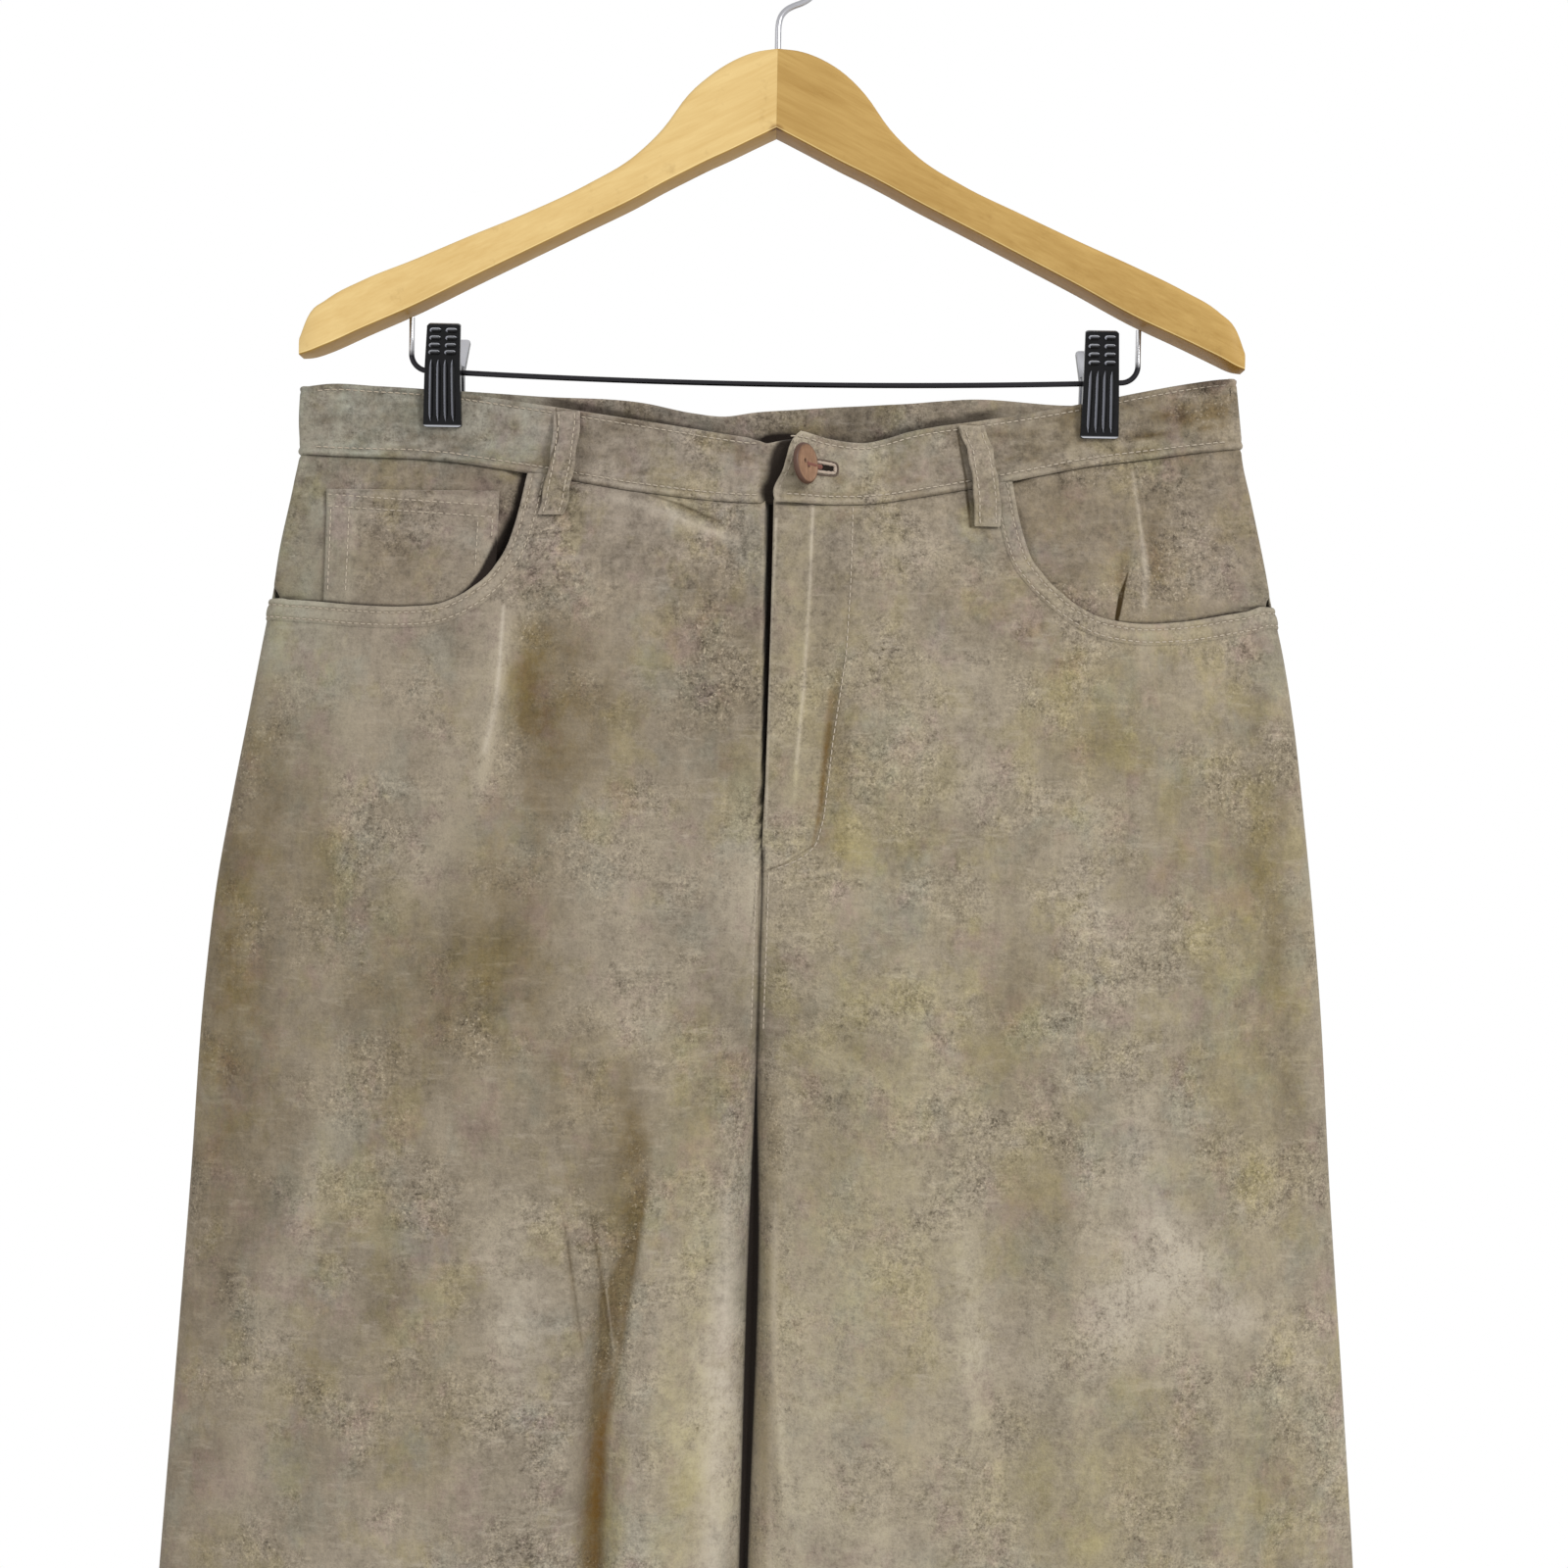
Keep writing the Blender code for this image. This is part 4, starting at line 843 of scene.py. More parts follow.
def ring_quads(count, rings):
    """Index quads between rings of points, each closed on itself."""
    start = np.arange(rings - 1)[:, None] * count
    a = (start + np.arange(count)).ravel()
    b = (start + (np.arange(count) + 1) % count).ravel()
    return np.stack([a, b, b + count, a + count], axis=1)


def put(name, points, faces, finish, slot, replaced=(), paint=None, crisp=50.0):
    """Make a mesh piece from points in millimetres, and let it ride on the one body."""
    mesh = bpy.data.meshes.new(name)
    mesh.from_pydata((np.asarray(points) * MM).tolist(), [], [list(map(int, face)) for face in faces])
    mesh.shade_smooth()
    mesh.set_sharp_from_angle(angle=math.radians(crisp))
    if paint is not None:
        store = mesh.attributes.new("paint", "FLOAT_COLOR", "POINT")
        store.data.foreach_set("color", np.clip(paint, 0.0, 1.5).astype(np.float32).ravel())
    mesh.materials.append(finish)
    made = bpy.data.objects.new(name, mesh)
    bpy.context.scene.collection.objects.link(made)
    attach(made, "root")
    if replaced:
        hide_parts(*replaced)
    return made


def shell(name, outer, inner, paint, finish, slot="suede", replaced=(), worn=0.5, bulge=0.45, inner_shade_and_smudge=0.0):
    """A closed shell between two grids, with a rounded rim: half way between them, pushed outward.

    Painted shade and a smudge given for the inside are added to the inner face's paint.
    """
    rows, columns = outer.shape[:2]
    count = rows * columns
    ring = border(rows, columns)
    inside = np.clip(ring // columns, 1, rows - 2) * columns + np.clip(ring % columns, 1, columns - 2)
    flat_outer, flat_inner = outer.reshape(-1, 3), inner.reshape(-1, 3)
    push = flat_outer[ring] - flat_outer[inside]
    push = push / np.maximum(np.linalg.norm(push, axis=1, keepdims=True), 1e-6)
    thick = np.linalg.norm(flat_outer[ring] - flat_inner[ring], axis=1, keepdims=True)
    rim = (flat_outer[ring] + flat_inner[ring]) / 2 + push * thick * bulge
    points = np.concatenate([flat_outer, flat_inner, rim])
    colour = paint.reshape(-1, 4)
    rim_colour = colour[ring] + np.array([worn, 0.0, 0.0, 0.0])
    inner_colour = (paint * np.array([0.4, 1.0, 1.0, 1.0]) + inner_shade_and_smudge).reshape(-1, 4)
    colour = np.concatenate([colour, inner_colour, rim_colour])
    middle = (rows // 2, columns // 2)
    along = outer[middle[0], middle[1] + 1] - outer[middle]
    down = outer[middle[0] + 1, middle[1]] - outer[middle]
    inward = np.dot(np.cross(along, down), outer[middle] - inner[middle]) < 0.0
    quads = grid_quads(rows, columns)
    steps = np.arange(len(ring))
    after = (steps + 1) % len(ring)
    near = np.stack([ring[after], ring, 2 * count + steps, 2 * count + after], axis=1)
    far = np.stack([2 * count + after, 2 * count + steps, count + ring, count + ring[after]], axis=1)
    if inward:
        faces = np.concatenate([quads[:, ::-1], quads + count, near[:, ::-1], far[:, ::-1]])
    else:
        faces = np.concatenate([quads, quads[:, ::-1] + count, near, far])
    return put(name, points, faces, finish, slot, replaced, colour)


def declare_cut(run, z):
    """Work out the flat area of a piece of cloth's grid, which nothing then uses."""
    across = run[:, 1:] - run[:, :-1]
    down = np.abs(z[1:] - z[:-1])
    area = np.sum((across[1:] + across[:-1]) / 2 * (down[:, 1:] + down[:, :-1]) / 2)


def pocket_height(half, x):
    """Height of the pocket mouth at a distance x from the middle."""
    return read(POCKET, POCKET_COLUMNS, HALF_NAME[half] + "_z", np.abs(x))


def lengths_along(points):
    """Length of a path up to each of its points."""
    return np.concatenate([[0.0], np.cumsum(np.linalg.norm(np.diff(points, axis=0), axis=1))])


def even_path(points, count):
    """Evenly spaced points along a path."""
    length = lengths_along(points)
    at = np.linspace(0.0, length[-1], count)
    return np.stack([np.interp(at, length, points[:, i]) for i in range(points.shape[1])], axis=1)


def pocket_path(half, count):
    """Pocket mouth as runs and heights, from the side seam round its curve to the waist seam."""
    x = half * np.linspace(POCKET[0][0] - 12.0, POCKET[-1][0], 90)
    z = pocket_height(half, x)
    side_z = float(pocket_height(half, POCKET[0][0]))
    fold = np.linspace(0.0, float(body("fold", side_z)) * math.pi / 2, 6)
    run = np.concatenate([fold, run_at(half, x, z)])
    return even_path(np.stack([run, np.concatenate([np.full(6, side_z), z])], axis=1), count)


def panel_grid(top_run, top_z, rows, length_at):
    """Runs and heights of a panel: its upper edge eased into level rows, wider apart near the hem."""
    rows_above, rows_middle, rows_below = rows
    upper = np.linspace(0.0, 1.0, rows_above, endpoint=False)[:, None] ** 1.5
    level = np.concatenate([np.linspace(LEVEL_Z, PHOTO_Z, rows_middle),
                            np.linspace(PHOTO_Z, HEM_Z + HEM_TALL + 3.0, rows_below)[1:],
                            np.linspace(HEM_Z + HEM_TALL, HEM_Z, 12)])[:, None]
    z = np.concatenate([top_z + (LEVEL_Z - top_z) * upper, level + 0.0 * top_z])
    blend = np.concatenate([smooth(upper), np.ones_like(level)])
    whole = length_at(z[:, -1:])
    share = top_run / top_run[-1]
    fold = body("fold", z) * math.pi / 2
    near = np.array([0.0, 0.1, 0.2, 0.33, 0.52, 0.76, 1.0])
    even = 1.0 - (1.0 - np.linspace(0.0, 1.0, len(top_run) - 2 * len(near) + 2)) ** 1.1
    across = np.concatenate([0 * near[:-1], even, 0 * near[1:] + 1])
    turned = np.concatenate([near[:-1], 0 * even + 1, 2 - near[-2::-1]])
    hem = turned * fold + across * (whole - 2.0 * fold)
    return whole * share * (1 - blend) + hem * blend, z


def seam_ridge(distance):
    """Rise of cloth along a joined seam: it dips at the seam and swells just beside it."""
    return 0.35 * np.exp(-((distance - 3.2) / 1.6) ** 2) - 0.9 * np.exp(-(distance / 0.9) ** 2)


def tuck(distance):
    """How far a panel's top goes under what is sewn over it, by its distance below that seam."""
    return 2.1 * smooth((3.0 - distance) / 4.2)


def legs_meet(half, run, z):
    """Rise of the inner seam's ridge, which lets the two legs touch behind the gap between them."""
    gap = inner_gap(half, z) + 0.2
    at_edge = np.exp(-((run_length(half, z) - run) / 1.1) ** 2)
    below = smooth((CROTCH_Z + 6.0 - z) / 12.0)
    return at_edge * (np.clip(gap, 0.0, 2.9) * below + 1.3 * leg_share(z) * (1.0 - below))


def between_legs(half, side, run, z, paint):
    """Painted shade: black in the depth between the legs, and brown on the right leg's inner fold."""
    distance = run_length(half, z) - run
    below = smooth((CROTCH_Z + 4.0 - z) / 24.0)
    # Painted shade: black near the inner seam below the crotch
    paint[..., 3] += 1.2 * below * smooth((3.6 - distance) / 2.4)
    if half == RIGHT and side == FRONT:
        # Painted shade: the right leg's inner fold, turned from the light, made browner
        paint[..., 2] += 0.35 * below * smooth((19.0 - distance) / 5.0)
    return paint


def finish_panel(half, side, run, z, out, paint_more, finish, reach=0.0):
    """Hem and inner seam on a panel's grid, then its shell."""
    above_hem = z - HEM_Z - HEM_TALL
    hem = 0.7 * smooth((1.0 - above_hem) / 1.6) - 0.5 * np.exp(-((above_hem + 3.0) / 1.2) ** 2)
    out = out + hem + legs_meet(half, run, z)
    outer, inner, paint = hide(half, side, run, z, out, out - SUEDE, reach)
    paint = between_legs(half, side, run, z, paint) + paint_more
    node = SIDE_NAME[side] + "_" + HALF_NAME[half]
    piece = shell("suede_" + node, outer, inner, paint, finish, replaced=[node])
    declare_cut(run, z)


def fly_edge(z):
    """x of the fly's upper edge, which nears the middle downwards."""
    return read(FLY_EDGE, FLY_EDGE_COLUMNS, "x", z)


def front_panel(half, finish):
    """One front panel, from pocket mouth and waist seam to hem, with the fly on its inner edge."""
    def above_fly_end(z):
        return smooth((z - FLY_BOTTOM + 6.0) / 44.0)

    def reach_at(z):
        return (FLY_UNDER if half == LEFT else -fly_edge(z)) * above_fly_end(z)

    mouth = pocket_path(half, 76)
    inner_x = FLY_UNDER if half == LEFT else FLY_EDGE[-1][1]
    corner_x = half * POCKET[-1][0]
    u = 1.0 - (1.0 - np.linspace(0.0, 1.0, 104)[1:]) ** 1.15
    seam_x = corner_x + (inner_x - corner_x) * u
    seam_z = waist("front_seam", seam_x) + 1.2
    runs = np.concatenate([mouth[:, 0], run_at(half, seam_x, seam_z)])
    heights = np.concatenate([mouth[:, 1], seam_z])
    runs[0] = 0.0
    run, z = panel_grid(runs, heights, FRONT_ROWS,
                        lambda level: run_length(half, level, reach_at(level)))
    reach = reach_at(z[:, -1:]) + 0.0 * z
    x = body_point(half, FRONT, run, z, reach)[..., 0]
    below_seam = waist("front_seam", x) - z
    seam_part = smooth((POCKET[-1][0] + 1.0 - np.abs(x)) / 2.0)
    out = -tuck(below_seam) * seam_part
    from_middle = np.abs(x - inner_edge(half, z))
    paint_more = np.zeros(run.shape + (4,))
    from_mouth = mouth_distance(half, run, z)
    paint_more[..., 0] += 0.55 * np.exp(-((from_mouth - 0.6) / 1.3) ** 2)
    paint_more[..., 0] += 0.2 * np.exp(-((from_mouth - 5.0) / 2.2) ** 2)
    fly = above_fly_end(z)
    below_fly = 1.0 - smooth((z - FLY_BOTTOM - 2.0) / 6.0)
    seam_line = below_fly * (1.0 - leg_share(z)) ** 0.5
    out = out + seam_line * seam_ridge(from_middle)
    # Painted shade: a black line in the dip of the seam below the fly
    paint_more[..., 3] += 0.8 * seam_line * np.exp(-(from_middle / 0.7) ** 2)
    if half == LEFT:
        stepped = smooth((x + FLY_STEP) / 1.8) * smooth((z - FLY_BOTTOM + 20.0) / 26.0)
        out = out - 4.2 * stepped * smooth((z - FLY_BOTTOM + 6.0) / 60.0) - 2.0 * stepped
        # Painted shade: black in the gap under the right panel's fly edge
        edge = smooth((x + FLY_STEP - 0.2) / 0.9)
        paint_more[..., 3] += edge * smooth((z - FLY_BOTTOM + 2.0) / 8.0)
        paint_more[..., 0] += 0.5 * fly * np.exp(-((x + FLY_STEP + 0.7) / 0.7) ** 2)
        paint_more[..., 0] += 0.75 * seam_line * np.exp(-((from_middle - 4.2) / 1.7) ** 2)
    else:
        lifted = smooth((z - FLY_BOTTOM) / 30.0)
        out = out + FLY_LIFT * smooth((13.0 - x) / 11.0) * lifted
        from_edge = x - fly_edge(z)
        rolled = np.clip((1.3 - from_edge) / 1.3, 0.0, 1.0) * fly
        out = out - 0.7 * rolled ** 2
        paint_more[..., 0] += 0.45 * fly * np.exp(-(from_edge / 1.8) ** 2)
        below_waist = np.maximum(waist("front_seam", 20.0) - z, 0.0)
        worn_line = 19.8 - 6.5 * (below_waist / 140.0) ** 1.3
        ridge = np.exp(-((x - worn_line) / 1.3) ** 2) * smooth((z + 426.0) / 24.0)
        out = out + 0.8 * ridge
        paint_more[..., 0] += 0.65 * ridge
        paint_more[..., 0] += 0.3 * seam_line * np.exp(-((from_middle - 3.4) / 1.6) ** 2)
    finish_panel(half, FRONT, run, z, out, paint_more, finish, reach)


def back_panel(half, finish):
    """One back panel, from the waist seam to the hem."""
    inner_x = inner_edge(half, BACK_SEAM_Z)
    side_x = side_edge(half, BACK_SEAM_Z) - half * 4.5
    u = 1.0 - (1.0 - np.linspace(0.0, 1.0, 104)) ** 1.1
    x = side_x + (inner_x - side_x) * u
    heights = waist("back_seam", x) + 1.2
    fold = float(body("fold", heights[0])) * math.pi / 2
    runs = np.concatenate([np.linspace(0.0, fold, SIDE_PLACES + 1)[:-1], run_at(half, x, heights)])
    heights = np.concatenate([np.full(SIDE_PLACES, heights[0]), heights])
    run, z = panel_grid(runs, heights, BACK_ROWS, lambda level: run_length(half, level))
    x = body_point(half, BACK, run, z)[..., 0]
    out = -tuck(waist("back_seam", x) - z)
    from_middle = np.abs(x - inner_edge(half, z))
    seam_line = (1.0 - leg_share(z)) ** 0.5
    out = out + seam_line * seam_ridge(from_middle)
    paint_more = np.zeros(run.shape + (4,))
    # Painted shade: a black line in the dip of the centre seam
    paint_more[..., 3] += 0.8 * seam_line * np.exp(-(from_middle / 0.7) ** 2)
    paint_more[..., 0] += 0.5 * seam_line * np.exp(-((from_middle - 3.2) / 1.8) ** 2)
    finish_panel(half, BACK, run, z, out, paint_more, finish)


def with_side_fold(values):
    """A grid with its first column repeated for the places round the side fold."""
    return np.concatenate([np.repeat(values[:, :1], SIDE_PLACES, axis=1), values], axis=1)


def runs_with_side_fold(run, z):
    """Runs of a grid, led by evenly spaced places from the side seam round the side fold."""
    fold = body("fold", z[:, :1]) * math.pi / 2
    lead = fold * np.linspace(0.0, 1.0, SIDE_PLACES + 1)[None, :-1]
    return np.concatenate([lead, run], axis=1), fold


def rounded(distance, thick):
    """Half the wall of a folded edge, by distance from it: a half circle of the thickness."""
    radius = thick / 2
    inside = np.clip(1.0 - distance / radius, 0.0, 1.0)
    return radius * np.sqrt(np.maximum(1.0 - inside ** 2, 0.04))


def band_shape(height, distance_to_top):
    """Rise of a waistband's face: a bead along its seam, a stitched groove above it, a folded top."""
    bead = 0.3 * np.exp(-((height - 1.0) / 0.8) ** 2) - 0.25 * np.exp(-((height - 3.1) / 0.6) ** 2)
    top = 0.25 * np.exp(-((distance_to_top - 1.2) / 0.9) ** 2)
    top = top - 0.25 * np.exp(-((distance_to_top - 2.8) / 0.6) ** 2)
    return bead + top


def band_start(half):
    """x where a waistband leaves the side fold."""
    return side_edge(half, BAND_SIDE_Z) - half * 4.0


def band_levels():
    """Shares of a waistband's height from its seam to its top, closer together at both."""
    mm = np.array([-0.7, 0.0, 0.6, 1.2, 1.8, 2.5, 3.1, 3.7, 4.6, 6.0, 8.0, 10.5, 13.0, 16.0, 19.0, 22.0,
                   24.5, 26.5, 28.0, 28.8, 29.4, 30.0, 30.6, 31.2, 31.7, 32.1, 32.4, BAND_TALL])
    return (mm / BAND_TALL)[:, None]


def curl(x):
    """How far the waistband's tab curls out of the band at x."""
    return TAB_CURL * smooth((30.0 - x) / 26.0)


def band_grid(half, side, x, drop=0.0):
    """Runs of a waistband, and its x, heights and distances above its seam and below its top."""
    seam = waist(SIDE_NAME[side] + "_seam", x)
    top = waist(SIDE_NAME[side] + "_top", x) - drop
    z = seam + (top - seam) * band_levels()
    run, fold = runs_with_side_fold(run_at(half, x, z), z)
    run[:, SIDE_PLACES:SIDE_PLACES + 1] = fold
    return run, *(with_side_fold(values) for values in (x, z, z - seam, top - z))


def band_wall(above, to_top):
    """Half the wall of a waistband, folded at its seam and at its top."""
    return np.minimum(rounded(to_top, BAND), rounded(above + 0.7, BAND))


def front_band(half, finish):
    """One front half of the waistband: the left one runs under the tab, the right one is the tab."""
    rise = band_levels()
    start = band_start(half)
    spread = np.linspace(0.0, 1.0, 190)
    if half == LEFT:
        x = start + (TAB_UNDER_X - start) * spread + 0.0 * rise
    else:
        spread = 1.0 - (1.0 - spread) ** 1.2
        x = start + (read(TAB, TAB_COLUMNS, "x", rise) - start) * spread
    drop = TAB_DROP * smooth((x + 12.0) / 12.0) if half == LEFT else 0.0
    run, x, z, above, to_top = band_grid(half, FRONT, x, drop)
    middle = BAND_RISE - BAND / 2 + 0.0 * x
    half_wall = band_wall(above, to_top)
    edge = read(TAB, TAB_COLUMNS, "x", rise + 0.0 * x)
    if half == LEFT:
        step_from, step_to = TAB_STEP
        middle = middle - (BAND + 0.6) * smooth((x - step_from) / (step_to - step_from))
    else:
        middle = middle + curl(x)
        half_wall = np.minimum(half_wall, rounded((x - edge) * 0.95, BAND + 0.6))
    out = middle + half_wall + band_shape(above, to_top) * smooth(half_wall * 2.0)
    outer, inner, paint = hide(half, FRONT, run, z, out, middle - half_wall, TAB_UNDER_X + 1.0)
    paint[..., 0] += 0.35 * np.exp(-((above - 1.0) / 0.8) ** 2) + 0.2 * np.exp(-(to_top / 1.2) ** 2)
    streaks = ripple(x, z * 3.2, 9.0, 15) + 0.6 * ripple(x, z * 2.4, 4.0, 16)
    paint[..., 0] += 0.4 * np.maximum(streaks, 0.0)
    paint[..., 2] += 0.4 * np.maximum(-streaks, 0.0)
    if half == LEFT:
        # Painted shadow of the tab, black on the left band beside the tab's edge
        paint[..., 3] += 0.97 * smooth((x - (edge - 7.5 - 4.0 * rise)) / 4.0)
    else:
        ragged = 2.6 + 0.8 * ripple(x, z, 3.5, 14)
        paint[..., 0] += 0.95 * np.exp(-((x - edge) / ragged) ** 4)
    node = "waistband_front_" + HALF_NAME[half]
    piece = shell("suede_" + node, outer, inner, paint, finish, replaced=[node], worn=0.2, bulge=0.05)
    declare_cut(run, z)


def back_band(finish):
    """The back of the waistband, in one piece from side to side."""
    middle = BAND_RISE - BAND / 2
    halves = []
    for half in (LEFT, RIGHT):
        start = band_start(half)
        x = start + (0.0 - start) * np.linspace(0.0, 1.0, 90) + 0.0 * band_levels()
        run, _, z, above, to_top = band_grid(half, BACK, x)
        half_wall = band_wall(above, to_top)
        out = middle + half_wall + band_shape(above, to_top) * smooth(half_wall * 2.0)
        outer, inner, paint = hide(half, BACK, run, z, out, middle - half_wall, 1.0)
        paint[..., 0] += 0.4 * np.exp(-((above - 1.2) / 1.3) ** 2) + 0.3 * np.exp(-(to_top / 1.4) ** 2)
        onward = slice(None) if half == LEFT else slice(-2, None, -1)
        halves.append([grid[:, onward] for grid in (outer, inner, paint)])
    outer, inner, paint = (np.concatenate(grids, axis=1) for grids in zip(*halves))
    x, z = inner[..., 0], inner[..., 2]
    # Painted shade on the band's inner face: a black hollow behind the middle, black above the front's top
    # edge and a dark share all over, with a smudge
    hollow_shadow = np.exp(-(((x - 3.5) / 7.5) ** 2 + ((z + 242.0) / 4.0) ** 2) ** 2)
    smudge = 0.8 * np.exp(-((x - 22.0) / 14.0) ** 2 - ((z + 238.0) / 3.0) ** 2)
    sunk_shade = 0.7 * smooth((waist("front_top", x) + 6.8 - z) / 2.2) * smooth((112.0 - np.abs(x)) / 12.0)
    inner_shade_and_smudge = np.stack([0.0 * x, 0.0 * x, smudge + 0.25, 1.1 * hollow_shadow + sunk_shade], axis=-1)
    piece = shell("suede_waistband_back", outer, inner, paint, finish, replaced=["waistband_back"],
                  worn=0.2, bulge=0.05, inner_shade_and_smudge=inner_shade_and_smudge)


def mouth_distance(half, run, z):
    """Distance of each place from the pocket mouth's edge, along the cloth."""
    apart = np.full(run.shape, 99.0)
    for path_run, path_z in pocket_path(half, 90):
        apart = np.minimum(apart, np.hypot(run - path_run, z - path_z))
    return apart


def mouth_shadow(half, x, apart):
    """Share of black under a pocket mouth's edge: a line, and on the left a crescent at its curve."""
    if half == LEFT:
        wide = 3.0 + 6.0 * np.exp(-((np.abs(x) - 127.0) / 9.0) ** 2) + 2.0 * smooth((122.0 - np.abs(x)) / 8.0)
        return smooth((wide - apart) / 2.0)
    return smooth((np.abs(x) - 140.0) / 20.0) * smooth((2.6 - apart) / 1.2)


def facing(half, finish):
    """The cloth seen inside a front pocket, from the side seam to past the pocket mouth."""
    layers = 2.0 if half == LEFT else 1.5
    start = side_edge(half, -290.0) - half * 13.0
    x = np.linspace(start, half * FACING_REACH, 92)
    rise = np.linspace(0.0, 1.0, 64)[:, None]
    top = waist("front_seam", x) + 0.6
    mouth = pocket_height(half, np.maximum(np.abs(x), POCKET[-1][0]))
    bottom = np.minimum(mouth, -300.0) - POCKET_MARGIN
    z = bottom + (top - bottom) * rise
    run, _ = runs_with_side_fold(run_at(half, x + 0 * z, z), z)
    z = with_side_fold(z)
    x = body_point(half, FRONT, run, z)[..., 0]
    uncovered = smooth((10.0 - run) / 8.0) * smooth((z - pocket_height(half, x) - 2.0) / 6.0)
    below_band = waist("front_seam", x) - z
    sewn = 0.65 * smooth((9.0 - below_band) / 9.0) * smooth((np.abs(x) - POCKET[-1][0] - 4.0) / 8.0)
    out = -layers * LAYER * (1.0 - uncovered) * (1.0 - sewn) - 0.6 * tuck(below_band)
    apart = mouth_distance(half, run, z)
    steep = smooth((152.0 - np.abs(x)) / 30.0) * smooth((-266.0 - z) / 20.0)
    depth, reach_in = (6.5, 10.0) if half == LEFT else (1.0, 5.0)
    out = out - depth * steep * smooth(1.0 - apart / reach_in)
    outer, inner, paint = hide(half, FRONT, run, z, out, out - THIN_SUEDE)
    paint[..., 2] += 0.3
    paint[..., 3] += mouth_shadow(half, x, apart)
    node = "pocket_facing_" + HALF_NAME[half]
    piece = shell("suede_" + node, outer, inner, paint, finish, "suede_dark", [node])
    declare_cut(run, z)


def patch(node, half, corners, layers, finish, slot, size, thick=THIN_SUEDE, tones=None, lift=None):
    """A flat-cut strip or patch, lying a number of layers inside the front."""
    left, right, top, bottom = corners
    columns, rows = size
    x = np.linspace(left, right, columns)[None, :]
    z = np.linspace(bottom, top, rows)[:, None] + 0.0 * x
    reach = max(half * -right, half * -left, 0.0) + 1.0
    x = x + 0.0 * z
    run = run_at(half, x, z)
    out = -layers * LAYER + 0.0 * x
    if lift is not None:
        out = out + lift(x, z)
    outer, inner, paint = hide(half, FRONT, run, z, out, out - thick, reach)
    if tones is not None:
        paint = paint + tones(x, z)
    piece = shell("suede_" + node, outer, inner, paint, finish, slot, [node])
    declare_cut(run, z)


def coin_pocket(finish):
    """The small pocket: a hemmed top edge, a fold down each side and stitched lines beside them."""
    bottom = float(pocket_height(LEFT, 190.0)) - 6.0

    def edges(x, z):
        top = COIN_TOP - COIN_SLOPE * (x - COIN_LEFT) / (COIN_RIGHT - COIN_LEFT)
        return top - z, x - COIN_LEFT, COIN_RIGHT - x

    def lift(x, z):
        below, left, right = edges(x, z)
        hem = 0.5 * smooth((8.4 - below) / 0.8)
        side_fold = 0.35 * smooth((11.4 - left) / 0.8) + 0.35 * smooth((9.6 - right) / 0.8)
        rim = -0.6 * np.exp(-(np.minimum(np.minimum(below, left), right) / 0.6) ** 2)
        return hem + side_fold + rim + 0.5

    def tones(x, z):
        below, left, right = edges(x, z)
        made = np.zeros(x.shape + (4,))
        rim = np.minimum(np.minimum(below, left), right)
        made[..., 0] = 0.5 * np.exp(-(rim / 1.4) ** 2) + 0.25 * np.exp(-((left - 11.6) / 1.1) ** 2)
        made[..., 0] += 0.2 * np.exp(-((below - 8.4) / 1.0) ** 2)
        made[..., 0] += 0.25 * np.exp(-((right - 4.0) / 4.0) ** 2)
        made[..., 2] = 0.12
        made[..., 3] = mouth_shadow(LEFT, x, mouth_distance(LEFT, run_at(LEFT, x, z), z))
        return made

    corners = (COIN_LEFT, COIN_RIGHT, COIN_TOP, bottom)
    patch("coin_pocket", LEFT, corners, 1, finish, "suede_dark", (82, 70), 1.2, tones, lift)


def loop_line(t, x_top, z_top, x_bottom, z_bottom, bow):
    """x and z of a belt loop's middle line at shares of its height, and how far it stands off."""
    x = x_bottom + (x_top - x_bottom) * t + bow * 4.0 * t * (1.0 - t)
    stand = smooth((t - 0.09) / 0.17) * smooth((0.91 - t) / 0.17)
    return x, z_bottom + (z_top - z_bottom) * t, LOOP_CLEAR * stand


def belt_loop(name, side, x_top, z_top, x_bottom, z_bottom, bow, finish):
    """A belt loop: a strip sewn down at both ends and standing off the cloth between them."""
    half = LEFT if x_top < 0 else RIGHT
    t = np.linspace(0.0, 1.0, 56)[:, None]
    across = np.concatenate([[-0.5, -0.485, -0.46, -0.42, -0.37], np.linspace(-0.33, 0.33, 9),
                             [0.37, 0.42, 0.46, 0.485, 0.5]])[None, :] * LOOP_WIDTH
    if half == RIGHT:
        across = -across
    wander = 0.25 * np.sin(t * 19.0 + x_top)
    middle_x, middle_z, stand = loop_line(t, x_top, z_top, x_bottom, z_bottom, bow)
    x = middle_x + across * (1.0 + 0.03 * np.sin(t * 9.0)) + wander
    z = middle_z + 0.0 * across
    run = run_at(half, x, z)
    to_side = LOOP_WIDTH / 2 - np.abs(across) + 0.0 * t
    to_end = np.minimum(t, 1.0 - t) * abs(z_top - z_bottom) + 0.0 * across
    half_wall = rounded(to_side, LOOP_WALL)
    middle = LOOP_BASE + LOOP_WALL / 2 + stand
    groove = 0.25 * np.exp(-((to_side - 1.9) / 0.45) ** 2)
    out = middle + half_wall - groove - 0.15 * np.exp(-(to_end / 1.5) ** 2)
    outer, inner, paint = hide(half, side, run, z, out, middle - half_wall, LOOP_WIDTH)
    paint[..., 0] += 0.35 * np.exp(-(to_side / 1.3) ** 2) + 0.3 * np.exp(-(to_end / 2.0) ** 2) + 0.12
    piece = shell("suede_" + name, outer, inner, paint, finish, replaced=[name], worn=0.3)


def on_skin(half, side, run, z, out, reach=SKIN_REACH):
    """What hide gives for one row of places, with both faces at the same distance out."""
    run, z, out = np.broadcast_arrays(run, z, out)
    return hide(half, side, run[None] + 0.0, z[None] + 0.0, out[None] + 0.0, out[None] + 0.0, reach)


